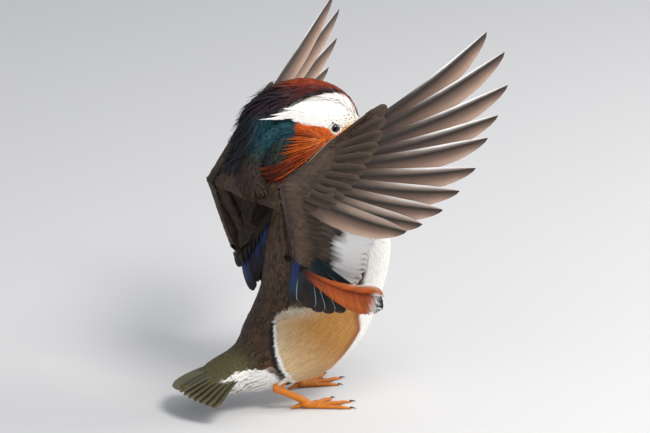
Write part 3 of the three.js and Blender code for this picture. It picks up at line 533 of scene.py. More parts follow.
coat_finish = plumage("body feather", barbs=14, dark=0.3, relief=0.3)
flank_finish = plumage("flank feather", barbs=16, dark=0.12, bars=640.0, relief=0.08)
nape_finish = plumage("nape feather", barbs=26, dark=0.35, relief=0.3, roughness=0.5, specular=0.3)
FLANK_STOPS = np.array([0.0, 0.16, 0.32, 0.48, 0.64, 0.8, 0.92, 1.0])
FLAT_LIFT = (-1.0, 0.05, 0.2, 0.25, 0.15)
LOOSE_LIFT = (-1, 0.8, 1.8, 2.4, 2.4)

body_coat("coat_rump", coat_finish, rows=(-0.3, 4.7), gaps=(2.8, 3.0), length=12, half=2.3, seed=11)
body_coat("coat_back", coat_finish, rows=(4.7, 13.0), gaps=(3.4, 3.3), length=13, half=2.7, seed=12,
          side="upper")
body_coat("coat_undertail", coat_finish, rows=(0.2, 4.4), gaps=(3.6, 3.6), length=19, half=2.2, seed=17,
          around=(0.1 - math.pi, -0.1), profile=SILKY_TIP, lift=LOOSE_LIFT, spare=0.8)
body_coat("coat_flank", flank_finish, rows=(4.6, 8.6), gaps=(3.2, 2.85), length=16, half=2.4, seed=13,
          side="lower", profile=np.interp(FLANK_STOPS, STATIONS, SILKY_TIP), stops=FLANK_STOPS,
          lift=np.interp(FLANK_STOPS, STATIONS, FLAT_LIFT), spare=0.12, local=0.9)
body_coat("coat_breast", flank_finish, rows=(8.4, 12.6), gaps=(2.9, 2.7), length=14, half=2.2, seed=14,
          side="lower", profile=SILKY_TIP, lift=FLAT_LIFT, spare=0.12, local=0.9)
body_coat("coat_neck", coat_finish, rows=(12.2, 15.2), gaps=(2.4, 2.3), length=10, half=1.6, seed=15,
          slot="neck_plumage")
body_coat("coat_nape", nape_finish, rows=(13.2, 15.6), gaps=(3.0, 2.6), length=24, half=1.5, seed=16,
          around=(0.0, math.pi), slot="head_plumage", profile=SILKY_TIP,
          lift=(-1, 0.8, 1.8, 2.4, 2.2), spare=1.2)


# The skull's short feathers: they start at the bill, part round the eye and run back over the
# cheek. They are the smallest on the bird, cream at the bill, white above the eye, orange below.
HEAD_ROWS = np.array([
    [-34, 6, 6, 8, 7],
    [-30, 5, 18, 15, 15],
    [-20, 4, 27, 21, 21],
    [-6, 4, 30, 24, 24],
    [8, 3, 29, 23, 23.5],
    [22, 1, 24, 18, 18.5],
    [34, -2, 17, 13, 13],
    [42, -4, 11, 9, 9],
], float)
HEAD_POWER = 2.1
add_paints(cream="f3e3c6", orange="c84a12", rust="8a2408", flame="ee8a2e", straw="f7c983", ridge="b8460f",
           copper="8f2e0a", maroon_crest="4e130c", plum="1c0d16")
WHITE_LOW = np.array([[-70, 20], [-42, 12.2], [-34, 13.2], [-25, 12.5], [-17, 10.5], [-11, 8], [3, 8],
                      [13.6, 7], [18, 3], [22, -0.5], [27, 1], [31, 7], [43, 10]])
WHITE_TOP = np.array([[-70, 0], [-53, 7.3], [-42, 11.0], [-36, 15], [-30, 20], [-24, 24], [-15, 29.5],
                      [-5, 34.5], [6.4, 38], [18, 38.8], [28, 36.4], [35, 31.5], [41.6, 22], [46, 16]])
FACE_GAPS = (1.9, 1.75)
EYE_CLEAR = 5.1


def head_surface(place, angle, grow=0.0):
    """Points round the skull: angle 0 is its right side, a quarter turn up its crown."""
    row = read_rows(HEAD_ROWS, place)
    side, rise = rounded(np.cos(angle), HEAD_POWER), rounded(np.sin(angle), HEAD_POWER)
    depth = np.where(rise > 0, row[..., 2], row[..., 3]) + grow
    return on_head(row[..., 0], (row[..., 4] + grow) * side, row[..., 1] + depth * rise)


def head_middle(place, angle):
    row = read_rows(HEAD_ROWS, place)
    return on_head(row[..., 0], 0 * row[..., 0], row[..., 1])


def from_head(points):
    """Ahead, right and up in the head's frame of points in the bird's."""
    return (points - HEAD_CENTRE) @ np.array([head_ahead, head_right, head_up]).T


def face_paint(points, draw):
    """Colours of the head by place: white brow, cream by the bill, orange cheek, blue green nape."""
    ahead, right, up = np.moveaxis(from_head(points), -1, 0)
    right = np.abs(right)
    low, top = np.interp(ahead, *WHITE_LOW.T), np.interp(ahead, *WHITE_TOP.T)
    speck = (0.72 + 0.56 * draw)[..., None]
    nape = soft_step(-ahead, 17, 5)
    cheek = mixed(PAINT["orange"], PAINT["rust"], soft_step(-up, 2, 14) * 0.6)
    cheek = mixed(cheek, PAINT["flame"], 0.2)
    cheek = mixed(cheek, PAINT["flame"], soft_step(ahead, 20, 14) * 0.6)
    cheek = mixed(cheek, PAINT["straw"], soft_step(ahead, 31, 8) * 0.6)
    base = mixed(cheek, PAINT["teal"], nape) * speck
    back = mixed(PAINT["teal"], PAINT["night"], soft_step(-ahead - 0.25 * right, 50, 14)) * speck
    base = mixed(base, back, soft_step(-ahead, 32, 6))
    wander = 6 * (draw - 0.5)
    crown = mixed(PAINT["ridge"], PAINT["copper"], soft_step(right + wander, 6, 6))
    crown = mixed(crown, PAINT["maroon_crest"], soft_step(right + 1.6 * wander, 13, 8))
    crown = mixed(crown, PAINT["plum"], soft_step(-ahead + 3 * wander, 28, 22))
    border = np.interp(ahead, [8, 26], [4.2, 1.4])
    dark_line = soft_step(up, 0, 3) * soft_step(top + border - up, 0, 3) * soft_step(ahead, -34, 12)
    crown = mixed(crown, PAINT["black"], dark_line)
    above = soft_step(up, top, 1.2)
    base = mixed(base, crown * (0.15 + 1.4 * draw)[..., None], above)
    brow = soft_step(up, low, 1.2) * soft_step(top - up, 0, 1.2) * soft_step(ahead, -58, 4)
    bare = soft_step(top - low, 1.2, 1.0)
    white = mixed(PAINT["white"], PAINT["cream"], soft_step(ahead, 33, 12) * soft_step(-up, -16, 10))
    return mixed(base, white, brow * bare)


def head_paint(place, angle, draw):
    root = face_paint(head_surface(place, angle), draw)
    return root, root


def side_bake(points):
    """The place of points on an unwrap that lays the head's two sides open from the crown."""
    ahead, right, up = np.moveaxis(from_head(points), -1, 0)
    fold = np.sign(right) * np.abs(np.arctan2(np.abs(right), up + 20))
    return np.stack([0.5 + 0.48 * np.clip(fold / math.pi, -1, 1),
                     np.clip(0.35 + ahead / 190, 0.02, 0.98)], -1)


face_finish = plumage("face feather", barbs=10, dark=0.14, relief=0.15, roughness=0.7)
rng = np.random.default_rng(21)
place, angle = staggered(head_surface, 0.6, 7.2, *FACE_GAPS, rng)
spots = from_head(head_surface(place, angle))
tips = from_head(head_surface(place - 0.35, angle))
clear = np.ones(len(place), bool)
for spot in (spots, tips):
    clear &= np.hypot(spot[:, 0] - EYE_AHEAD, spot[:, 2] - EYE_UP) > EYE_CLEAR
clear &= (spots[:, 2] < np.interp(spots[:, 0], *WHITE_TOP.T) - 6) | (spots[:, 0] > 20)
place, angle = place[clear], angle[clear]
small = np.interp(place, [0, 3, 5, 7.2], [7.5, 6.5, 4.6, 3.0])
lay_coat("coat_face", head_surface, head_middle, place, angle, small, np.maximum(small * 0.22, 1.35),
         head_paint, lambda u, v: side_bake(head_surface(u, v)), face_finish, rng, "head_plumage",
         lift=(-0.7, 0.1, 0.3, 0.35, 0.25), spare=0.2, thick=0.22)


# The crest: long silky locks rooted on the crown and its rear, which lie in three layers and hang
# free behind the neck. They are copper in front and along the middle, dark red and black behind.
CREST_ROWS = np.array([
    [41, 13, 7, 9],
    [28, 26.5, 9.5, 15],
    [9, 33, 11, 20],
    [-12, 32, 12, 22],
    [-30.5, 21.5, 13.5, 22],
    [-45.5, 4, 15.5, 20],
    [-54, -20, 12.5, 16],
    [-61, -37, 8, 9],
], float)
CREST_END = 15.7


def crest_surface(place, angle, depth=1.0):
    """Points over the crest: place counts its rows, angle runs out from its middle line."""
    row = read_rows(CREST_ROWS, np.clip(place, 0, 7))
    ahead = np.clip(place, 0.28, 6.72)
    step = read_rows(CREST_ROWS, ahead + 0.28) - read_rows(CREST_ROWS, ahead - 0.28)
    run = np.hypot(step[..., 0], step[..., 1])
    normal_ahead, normal_up = step[..., 1] / run, -step[..., 0] / run
    past = np.maximum(place - 7, 0) * CREST_END
    before = np.minimum(place, 0) * CREST_END
    out = row[..., 2] * depth * np.cos(angle)
    return on_head(
        row[..., 0] + normal_ahead * out - 0.35 * past - 0.85 * before,
        row[..., 3] * depth * np.sin(angle),
        row[..., 1] + normal_up * out - 0.94 * past + 0.5 * before,
    )


def crest_middle(place, angle):
    return crest_surface(place, angle * 0, -0.4)


LOCK_COUNT = 211
LOCK_TONES = np.random.default_rng(30).random(LOCK_COUNT)


def lock_tone(place, angle):
    """A shade that neighbouring feathers share, so that they read as silky locks."""
    step = angle * 9.5 + 0.8 * place + 90
    lock = np.floor(step).astype(int)
    share = step - lock
    share = share * share * (3 - 2 * share)
    return LOCK_TONES[lock % LOCK_COUNT] * (1 - share) + LOCK_TONES[(lock + 1) % LOCK_COUNT] * share


def crest_paint(place, angle, draw):
    root = face_paint(crest_surface(place, angle), 0.3 * draw + 0.7 * lock_tone(place, angle))
    return root, root


LOCK_STOPS = np.array([0.0, 0.18, 0.38, 0.58, 0.78, 0.92, 1.0])
LOCK_TIP = np.array([0.5, 0.9, 1.0, 0.9, 0.62, 0.3, 0.06])
crest_finish = plumage("crest lock", barbs=30, dark=0.35, relief=0.35, roughness=0.5, specular=0.28)


def crest_layer(name, rows, gaps, length, half, depth, wide, seed, lift, loose):
    """One layer of the crest's locks at a depth within its form."""
    rng = np.random.default_rng(seed)

    def surface(place, angle):
        return crest_surface(place, angle, depth)

    u, v = staggered(surface, *rows, *gaps, rng, -wide, wide)
    size = length * np.interp(u, [0, 1.2, 2.5, 5, 7], [0.45, 0.6, 0.9, 1.1, 0.8])
    lay_coat(name, surface, crest_middle, u, v, size, half, crest_paint,
             lambda a, b: side_bake(surface(a, b)), crest_finish, rng, "head_plumage", sign=1,
             turn=np.sin(v) * np.interp(u, [1, 3, 5], [0.3, 0.24, -0.05]), profile=LOCK_TIP, lift=lift,
             spare=loose * np.interp(u, [2.5, 5], [1, 3.2]), stops=LOCK_STOPS, thick=0.3)


crest_layer("crest_under", rows=(0.2, 6.6), gaps=(4.6, 3.0), length=34, half=1.7, depth=0.66, wide=2.2,
            seed=31, lift=(-1, 0, 0.6, 1, 1.2, 1, 0.8), loose=1.2)
crest_layer("crest_mid", rows=(0.0, 6.2), gaps=(3.8, 2.4), length=30, half=1.4, depth=0.82, wide=2.05,
            seed=32, lift=(-1, 0, 0.5, 0.8, 1.0, 0.8, 0.5), loose=0.9)
crest_layer("crest_top", rows=(-0.2, 5.9), gaps=(2.3, 1.6), length=22, half=0.8, depth=0.96, wide=1.95,
            seed=33, lift=(-1.4, -0.3, 0.1, 0.4, 0.7, 0.8, 0.7), loose=0.9)
rng = np.random.default_rng(34)
u, v = staggered(crest_surface, 3.1, 6.6, 5.0, 4.0, rng, -1.8, 1.4)
lay_coat("crest_ragged_edge", crest_surface, crest_middle, u, v, 21, 1.35, crest_paint,
         lambda a, b: side_bake(crest_surface(a, b)), crest_finish, rng, "head_plumage", sign=1,
         turn=rng.normal(0, 0.1, len(u)), profile=LOCK_TIP,
         lift=(-1.5, -0.2, 0.5, 1.4, 2.6, 3.8, 4.6), spare=2.6,
         stops=LOCK_STOPS, thick=0.3)


# The nape: silky feathers that fill the hollow between the crest and the back of the neck. They
# are blue green behind the cheek, then dark green and brown as they run down on to the mantle.
NAPE_ROWS = np.array([
    [-12, 0, 19, 23],
    [-27, -3, 18, 21.5],
    [-39, -12, 17, 20],
    [-45, -27, 16, 20],
    [-46, -42, 16, 21],
    [-42, -58, 17, 23],
    [-38, -72, 18, 25],
], float)
add_paints(umber="3a281b")


def nape_surface(place, angle, depth=1.0):
    """Points over the nape: place counts its rows, angle runs out from its middle line."""
    row = read_rows(NAPE_ROWS, place)
    step = read_rows(NAPE_ROWS, place + 0.3) - read_rows(NAPE_ROWS, place - 0.3)
    run = np.hypot(step[..., 0], step[..., 1])
    out = row[..., 2] * depth * np.cos(angle)
    return on_head(row[..., 0] + step[..., 1] / run * out, row[..., 3] * depth * np.sin(angle),
                   row[..., 1] - step[..., 0] / run * out)


def nape_paint(place, angle, draw):
    ahead, right, up = np.moveaxis(from_head(nape_surface(place, angle)), -1, 0)
    tone = mixed(PAINT["teal"] * 1.15, PAINT["night"], soft_step(-ahead, 56, 12))
    tone = mixed(tone, PAINT["moss"], soft_step(-up, 24, 16))
    tone = mixed(tone, PAINT["umber"], soft_step(-up, 38, 16))
    tone = tone * (0.55 + 0.9 * draw)[..., None]
    return tone, tone


rng = np.random.default_rng(35)
place, angle = staggered(nape_surface, 0.2, 4.7, 2.8, 2.0, rng, -2.3, 2.3)
lay_coat("nape_feathers", nape_surface, lambda a, b: nape_surface(a, b, 0.0), place, angle, 15.0, 1.15,
         nape_paint, lambda a, b: side_bake(nape_surface(a, b)), crest_finish, rng, "head_plumage", sign=1,
         profile=SILKY_TIP, lift=(-1, 0.1, 0.5, 0.8, 0.8), spare=0.8, thick=0.25)


# The white brow: short close feathers that fill each side of the head from the crest's edge to
# the cheek in one smooth field. The rear ones are long and end in points over the dark crest.
BROW_LOW = np.array([[42, 8.0, 7], [34, 13.0, 6], [22, 18.2, 4], [8, 23.4, 5], [-6, 24.2, 5], [-17, 22.4, 7],
                     [-26, 19.5, 10], [-38, 18.4, 10], [-50, 17.5, 6], [-58, 15.5, 1]], float)
BROW_POINTS = [((-14, 16.5), (-53, 7.8)), ((-12, 20), (-44.6, 13.4)), ((-10, 23), (-32.5, 21.4)),
               ((-14, 13.5), (-30, 10.8))]


def brow_form(side):
    def surface(u, v):
        low = read_rows(BROW_LOW, u)
        low = on_head(low[..., 0], side * low[..., 1], low[..., 2])
        high = crest_surface(0.15 + 0.56 * u, side * 1.12 + 0 * u, 0.97)
        bulge = 2.4 * np.sin(math.pi * np.clip(v, 0, 1)) * np.interp(u, [0, 2, 6, 9], [0.3, 1, 1, 0.4])
        return high + (low - high) * v[..., None] + head_right * side * bulge[..., None]
    return surface


def brow_paint(side):
    def paint(u, v, draw):
        tone = face_paint(brow_form(side)(u, v), draw)
        return tone, tone
    return paint


brow_finish = plumage("brow feather", barbs=10, dark=0.05, relief=0.05, roughness=0.7)
for side, word in ((1, "right"), (-1, "left")):
    rng = np.random.default_rng(36 + side)
    form = brow_form(side)
    u, v = staggered(form, -0.2, 8.6, 2.0, 1.6, rng, -0.08, 1.0)
    flat = from_head(form(u, v))
    clear = np.hypot(flat[:, 0] - EYE_AHEAD, flat[:, 2] - EYE_UP) > 5.6
    clear &= np.hypot(flat[:, 0] - 5 - EYE_AHEAD, flat[:, 2] - EYE_UP) > 5.2
    u, v = u[clear], v[clear]
    lay_coat("coat_brow_" + word, form, lambda a, b, s=side: form(a, b) - head_right * s * 9, u, v,
             np.interp(u, [0, 3, 9], [4.0, 7, 13]), np.interp(u, [0, 3, 9], [0.8, 1.1, 1.0]),
             brow_paint(side), lambda a, b: side_bake(form(a, b)), brow_finish, rng, "head_plumage",
             sign=1, profile=SILKY_TIP, lift=(-0.8, 0.05, 0.10, 0.10, 0.05), spare=0.04, thick=0.10,
             camber=0.02)

crest_mesh = crest_surface(np.linspace(1, 6, 60)[:, None], np.linspace(0.2, 2.0, 50)[None])
crest_cloud = from_head(crest_mesh).reshape(-1, 3)
for side, word in ((1, "right"), (-1, "left")):
    rng = np.random.default_rng(38 + side)
    spines, halves = [], []
    for (root_ahead, root_up), (tip_ahead, tip_up) in BROW_POINTS:
        for step in range(-3, 4):
            short = 1 - 0.09 * abs(step) - 0.05 * rng.random()
            ahead = root_ahead + (tip_ahead - root_ahead) * short * LOCK_STOPS
            up = root_up + (tip_up - root_up) * short * LOCK_STOPS + 0.9 * step * (1 - 0.8 * LOCK_STOPS)
            away = (crest_cloud[:, 0] - ahead[:, None]) ** 2 + (crest_cloud[:, 2] - up[:, None]) ** 2
            out = np.where(away < 16, crest_cloud[:, 1], 0).max(-1) + 1.9 + 0.3 * rng.random()
            out = np.maximum(out, np.interp(ahead, [-30, -20, -8], [0, 23.6, 24.6]))
            out[0] -= 1.0
            spines.append(on_head(ahead, side * out, up))
            halves.append(1.25 * LOCK_TIP)
    spine = np.array(spines)
    piece = feather_piece("brow_points_" + word, spine, np.broadcast_to(head_right * side, spine.shape),
                          np.array(halves)[..., None] * [1, 1], np.broadcast_to(PAINT["white"], spine.shape),
                          side_bake(spine[:, 0]), brow_finish, thick=0.3, camber=0.05)
    dress(piece, "head_plumage")


# The long pointed cheek feathers: they spring from the cheek below the eye and fan back and down
# over the neck in layers, deep orange with a pale shaft each.
add_paints(rust_dark="5a1d0d")
HACKLE_TIERS = 11
HACKLE_FIRST, HACKLE_SPAN = 158, 112
HACKLE_TURN = [158, 165, 172, 178, 191, 206, 215, 224, 236, 250, 270]
HACKLE_REACH = [27, 31, 34, 36, 41, 51, 65, 69, 66, 56, 44]
HACKLE_LOCKS = 27
HACKLE_CENTRE = (14.0, -4.0)
HACKLE_STOPS = np.array([0.0, 0.15, 0.35, 0.55, 0.75, 0.9, 1.0])
HACKLE_TIP = np.array([0.45, 0.85, 1.0, 0.9, 0.6, 0.28, 0.05])
HACKLE_RING = np.array([[-1, 0], [-0.45, 0.5], [0, 1.3], [0.45, 0.5], [1, 0], [0, -0.5]], float)
hackle_finish = plumage("cheek hackle", barbs=34, dark=0.3, relief=0.3, roughness=0.55, specular=0.15)

neck_u, neck_v = np.meshgrid(np.linspace(10.5, 15.4, 70), np.linspace(-1.5, 1.5, 60), indexing="ij")
neck_points = body_surface(neck_u, neck_v).reshape(-1, 3)


def half_width_at(points, side):
    """How far out the neck reaches, to one side, at the height and depth of each point."""
    flat = points.reshape(-1, 3)[:, [0, 2]]
    found = np.empty(len(flat))
    for i, spot in enumerate(flat):
        away = ((neck_points[:, [0, 2]] - spot) ** 2).sum(1)
        near = away < 16
        found[i] = neck_points[near, 1].max() if near.any() else 0
    return found.reshape(points.shape[:-1])


for side, word in ((1, "right"), (-1, "left")):
    rng = np.random.default_rng(41 + side)
    spines, outs, halves, shades, bakes = [], [], [], [], []
    for tier in range(HACKLE_TIERS):
        scale = 1.06 - 0.075 * tier
        number = int(44 - 2.0 * tier)
        share = np.clip((np.arange(number) + rng.uniform(0, 1, number)) / number, 0, 1)
        edge = np.radians(HACKLE_FIRST + HACKLE_SPAN * share)
        lock = np.floor(share * HACKLE_LOCKS)
        lock_edge = np.radians(HACKLE_FIRST + HACKLE_SPAN * (lock + 0.5) / HACKLE_LOCKS)
        reach = np.interp(np.degrees(edge), HACKLE_TURN, HACKLE_REACH) * scale
        reach = reach * rng.uniform(0.88, 1.0, number)
        reach = reach * (0.9 + 0.16 * LOCK_TONES[lock.astype(int) + 40])
        length = np.minimum(36 - 1.8 * tier, reach * 0.8) * rng.uniform(0.9, 1.1, number)
        far = reach[:, None] - length[:, None] * (1 - HACKLE_STOPS)
        bend = edge[:, None] + 0.10 * np.sin(math.pi * HACKLE_STOPS) * (share[:, None] - 0.5)
        bend = bend + (lock_edge - edge)[:, None] * 0.8 * HACKLE_STOPS
        bend = bend + rng.normal(0, 0.012, number)[:, None] * HACKLE_STOPS
        out = 18.5 + 6.5 * np.clip(far / 45, 0, 1) - 2.5 * share[:, None] * HACKLE_STOPS
        out = out + 0.42 * tier + rng.uniform(0, 0.9, number)[:, None]
        ahead = HACKLE_CENTRE[0] + far * np.cos(bend)
        up = HACKLE_CENTRE[1] + far * np.sin(bend)
        line = on_head(ahead, side * out, up)
        least = half_width_at(line, side) + 2.2 + 0.42 * tier + rng.uniform(0, 0.9, number)[:, None]
        sunk = np.maximum(least - side * line[..., 1], 0)
        line = line + sunk[..., None] * np.array([0, side, 0])
        spines.append(line)
        outs.append(np.broadcast_to(head_right * side, spines[-1].shape))
        halves.append((rng.uniform(0.7, 1.15, number)[:, None] * HACKLE_TIP)[..., None] * [1, 1])
        tone = (0.3 * rng.uniform(0, 1, number) + 0.7 * LOCK_TONES[lock.astype(int) * 3 + 7])[:, None, None]
        rusty = np.clip(0.15 + 0.9 * tone[..., 0] + 0.3 * (far - 40) / 30, 0, 1)
        deep = mixed(PAINT["orange"], PAINT["rust"], rusty)
        deep = mixed(deep, PAINT["flame"], np.clip(0.2 - far / 60, 0, 1)) * (1.1 - 0.6 * tone)
        shaft = mixed(PAINT["flame"], PAINT["straw"], np.clip(0.9 - far / 30, 0, 1) * (far > 9))
        edge_on = np.clip(1 - np.abs(HACKLE_RING[:, 0]) * 1.3, 0, 1)[None, None, :]
        shown = edge_on * (0.12 + 0.9 * (1 - tone) ** 2)
        shades.append(mixed(deep[:, :, None] + 0 * edge_on[..., None], shaft[:, :, None], shown))
        bakes.append(side_bake(spines[-1][:, 0]))
    for row_back in range(5):
        number = 24
        at = np.radians(np.linspace(211, 237, number) + rng.uniform(-1, 1, number))
        lock = np.round(np.degrees(at) / 4.4) * 4.4
        spread = np.interp(at, np.radians([211, 222, 237]), [1.0, 0.97, 0.9])
        reach = (81 - 4 * row_back) * spread * rng.uniform(0.92, 1.02, number)
        far = reach[:, None] - 24 * (1 - HACKLE_STOPS)
        bend = at[:, None] + (np.radians(lock) - at)[:, None] * 0.85 * HACKLE_STOPS
        line = on_head(HACKLE_CENTRE[0] + far * np.cos(bend), side * 20.0 + 0 * far,
                       HACKLE_CENTRE[1] + far * np.sin(bend))
        least = half_width_at(line, side) + 1.2 + 0.35 * row_back + rng.uniform(0, 0.6, number)[:, None]
        line = line + np.maximum(least - side * line[..., 1], 0)[..., None] * np.array([0, side, 0])
        spines.append(line)
        outs.append(np.broadcast_to(head_right * side, line.shape))
        halves.append((rng.uniform(0.9, 1.3, number)[:, None] * HACKLE_TIP)[..., None] * [1, 1])
        tone = rng.uniform(0, 1, number)[:, None, None]
        dark = mixed(PAINT["rust_dark"], PAINT["umber"] * 0.6, 0.8 * tone[..., 0] + 0 * far)
        streak = mixed(dark, PAINT["orange"] + 0 * dark, 0.45 * (1 - tone[..., 0]) ** 2 + 0 * far)
        shades.append(mixed(dark[:, :, None] + 0 * edge_on[..., None], streak[:, :, None],
                            edge_on + 0 * tone))
        bakes.append(side_bake(line[:, 0]))
    spine = np.concatenate(spines)
    piece = feather_piece("cheek_hackles_" + word, spine, np.concatenate(outs), np.concatenate(halves),
                          np.concatenate(shades), np.concatenate(bakes), hackle_finish,
                          ring=HACKLE_RING, thick=0.3)
    dress(piece, "head_plumage")


# The wings: each is held up and swept forward from the shoulder. The long feathers are stiff
# vanes on a dark shaft, rooted along the hand and the forearm, each lying over the next outward.
PRIMARY_REACH = [235, 238, 226, 207, 192, 176, 160, 146, 130, 118]
PRIMARY_ANGLE = [38, 32, 25, 19, 14, 6, -1, -8, -15, -20]
SECONDARY_LENGTH = (93, 64)
SECONDARY_LIFT = 34
SECONDARY_COUNT = 12
PRIMARY_COUNT = 10
INNER_COUNT = 8
SCAPULAR_COUNT = 9
SAIL_BARBS = 62
TERTIAL_REACH = [88, 76, 66, 56, 44]
WINGS = {
    "right": dict(side=1, sweep=27, lean=17, shoulder=(5, 35, 200), elbow=(-38, 70, 157),
                  wrist=(-51, 75, 226), fan_end=-84, scapular_end=(-28, 49, 104)),
    "left": dict(side=-1, sweep=33, lean=8, shoulder=(3, -36, 190), elbow=(-31, -60, 130),
                 wrist=(-50, -75, 192), fan_end=-58, scapular_end=(-25, -41, 90)),
}
FLIGHT_STOPS = np.array([0, 0.06, 0.14, 0.24, 0.34, 0.44, 0.54, 0.64, 0.73, 0.81, 0.88, 0.94, 0.98, 1.0])
POINTED = np.interp(FLIGHT_STOPS, [0, 0.06, 0.2, 0.4, 0.62, 0.8, 0.92, 0.98, 1],
                    [0.2, 0.4, 0.8, 1, 1.0, 0.82, 0.5, 0.2, 0.03])
BLUNT = np.interp(FLIGHT_STOPS, [0, 0.06, 0.25, 0.6, 0.85, 0.94, 0.98, 1],
                  [0.2, 0.45, 0.9, 1, 0.95, 0.8, 0.5, 0.15])
SAIL_OUTLINE = np.interp(FLIGHT_STOPS, [0, 0.1, 0.3, 0.6, 0.84, 0.93, 0.98, 1],
                         [0.12, 0.25, 0.4, 0.75, 1, 0.85, 0.5, 0.2])
LONG_RING = np.array([[-1, 0], [-0.88, 0.1], [-0.5, 0.35], [-0.07, 0.6], [0, 1.5], [0.07, 0.6], [0.5, 0.35],
                      [0.88, 0.1], [1, 0], [0.5, -0.45], [0, -0.7], [-0.5, -0.45]], float)
SHAFT_DARK = linear("1d1512")
SHAFT_HALF = 0.07


def wing_frame(side, sweep, lean, shoulder, elbow, wrist, fan_end, scapular_end):
    """Directions and joints of one wing; upper is the side that is on top when the wing is flat."""
    sweep, lean = math.radians(sweep), math.radians(lean)
    spread = np.array([math.cos(sweep), side * math.sin(sweep), 0])
    rise = np.array([
        math.sin(sweep) * math.sin(lean),
        -side * math.cos(sweep) * math.sin(lean),
        math.cos(lean),
    ])
    under = unit(np.cross(spread, rise)) * side
    wing = dict(side=side, spread=spread, rise=rise, upper=-under, fan_end=fan_end)
    wing.update(shoulder=np.array(shoulder, float), elbow=np.array(elbow, float),
                wrist=np.array(wrist, float), scapular_end=np.array(scapular_end, float))
    wing["hand"] = in_wing(wing, 44, 56)
    wing["hand_end"] = in_wing(wing, 41, 88)
    arm = unit(wing["wrist"] - wing["elbow"])
    second = 0.97 * spread - 0.25 * rise + 0.16 * under
    wing["arm_upper"] = -unit(np.cross(second, arm)) * side
    return wing


def in_wing(wing, angle, reach, out=0.0):
    """A place in the wing's plane, by angle above its spread and distance from the wrist."""
    angle = np.radians(np.asarray(angle, float))[..., None]
    reach = np.asarray(reach, float)[..., None]
    flat = reach * np.cos(angle) * wing["spread"] + reach * np.sin(angle) * wing["rise"]
    return wing["wrist"] + flat + np.asarray(out, float)[..., None] * wing["upper"]


def vane_shapes(root, tip, upper, lead, widths, outline, tilt, bow=0.0, arch=0.0):
    """Centrelines, normals and half widths of long feathers, and which side of each leads."""
    root, tip, upper, lead = np.broadcast_arrays(root, tip, upper, lead)
    along = unit(tip - root)
    upright = unit(upper - along * (upper * along).sum(-1, keepdims=True))
    flat = np.cross(along, upright)
    way = np.sign((flat * lead).sum(-1))
    flat = flat * way[:, None]
    slope = math.radians(tilt)
    normal = math.cos(slope) * upright - math.sin(slope) * flat
    stops = FLIGHT_STOPS
    swing = 4 * stops * (1 - stops)
    bow = np.broadcast_to(bow, way.shape)
    spine = root[:, None] + (tip - root)[:, None] * stops[None, :, None]
    spine = (spine + flat[:, None] * (bow[:, None] * swing)[..., None]
             + upright[:, None] * (arch * swing)[None, :, None])
    widths = np.broadcast_to(widths, (len(way), 2))
    half = widths[:, None, :] * outline[None, :, None]
    half = np.where(way[:, None, None] > 0, half[..., ::-1], half)
    return spine, np.repeat(normal[:, None], len(stops), 1), half, way


def flight_paint(shades, way):
    """Colours of long feathers: shades(t, y) gives them by the share of the length and across.

    y runs from -1 at the trailing edge to 1 at the leading one. The shaft has its own colour.
    """
    t = FLIGHT_STOPS[None, :, None] + 0 * way[:, None, None]
    y = LONG_RING[None, None, :, 0] * way[:, None, None] + 0 * t
    core = np.clip(1 - np.abs(y) / SHAFT_HALF, 0, 1) * np.clip(1.1 - t, 0.2, 1)
    return mixed(shades(t, y), SHAFT_DARK, core)


def tint(code, t):
    """One colour, written as six hex digits, at every point of t."""
    return linear(code) + 0 * t[..., None]


def primary_shades(t, y):
    rank = np.linspace(0, 1, len(t))[:, None, None] + 0 * t
    tone = mixed(tint("33271f", t), tint("84695a", t), soft_step(-y, 0.35, 0.5) * soft_step(t, 0.36, 0.3))
    tone = mixed(tone, tint("b79a88", t), soft_step(-y, 0.72, 0.4) * soft_step(t, 0.48, 0.3))
    tone = mixed(tone, tint("8d7668", t), soft_step(y, 0.2, 0.4) * soft_step(t, 0.45, 0.2) * rank)
    silver = soft_step(y, 0.66, 0.4) * soft_step(t, 0.6, 0.2)
    tone = mixed(tone, tint("f8f6f4", t), silver * np.clip(1.1 - rank ** 2, 0, 1))
    tone = mixed(tone, tint("211812", t), soft_step(-np.abs(y + 0.08), -0.24, 0.25) * 0.85)
    return mixed(tone, tint("33281f", t), soft_step(t, 0.93, 0.12) * soft_step(-y, 0.0, 0.4))


SECONDARY_STEP = np.random.default_rng(70).uniform(-0.025, 0.025, SECONDARY_COUNT)


def secondary_shades(t, y):
    rank = np.linspace(0, 1, len(t))[:, None, None] + 0 * t
    t = t + SECONDARY_STEP[:, None, None]
    rank = 0.35 * rank + 0.65 * np.floor(rank * 2.99) / 2
    tone = mixed(tint("33281f", t), tint("54433a", t), soft_step(-y, 0.5, 0.5))
    tone = mixed(tone, tint("045a5c", t), soft_step(y, -0.3, 0.3) * soft_step(t, 0.34, 0.12))
    tone = mixed(tone, tint("0c1113", t), soft_step(t, 0.6 - 0.07 * rank, 0.05))
    white = soft_step(t, 0.67 - 0.09 * rank, 0.04)
    tone = mixed(tone, tint("f6f4f0", t), white)
    smudge = white * soft_step(-np.abs(y + 0.1), -0.18, 0.2) * soft_step(t, 0.84, 0.2) * rank
    return mixed(tone, tint("8a6a50", t), smudge)


def tertial_shades(t, y):
    tone = mixed(tint("120d0b", t), tint("0a1c24", t), soft_step(y, 0.1, 0.5) * soft_step(-t, -0.6, 0.3))
    tone = mixed(tone, tint("2b1c12", t), soft_step(-y, 0.2, 0.5))
    return mixed(tone, tint("a9bdbd", t), soft_step(y, 0.94, 0.05) * soft_step(t, 0.5, 0.2))


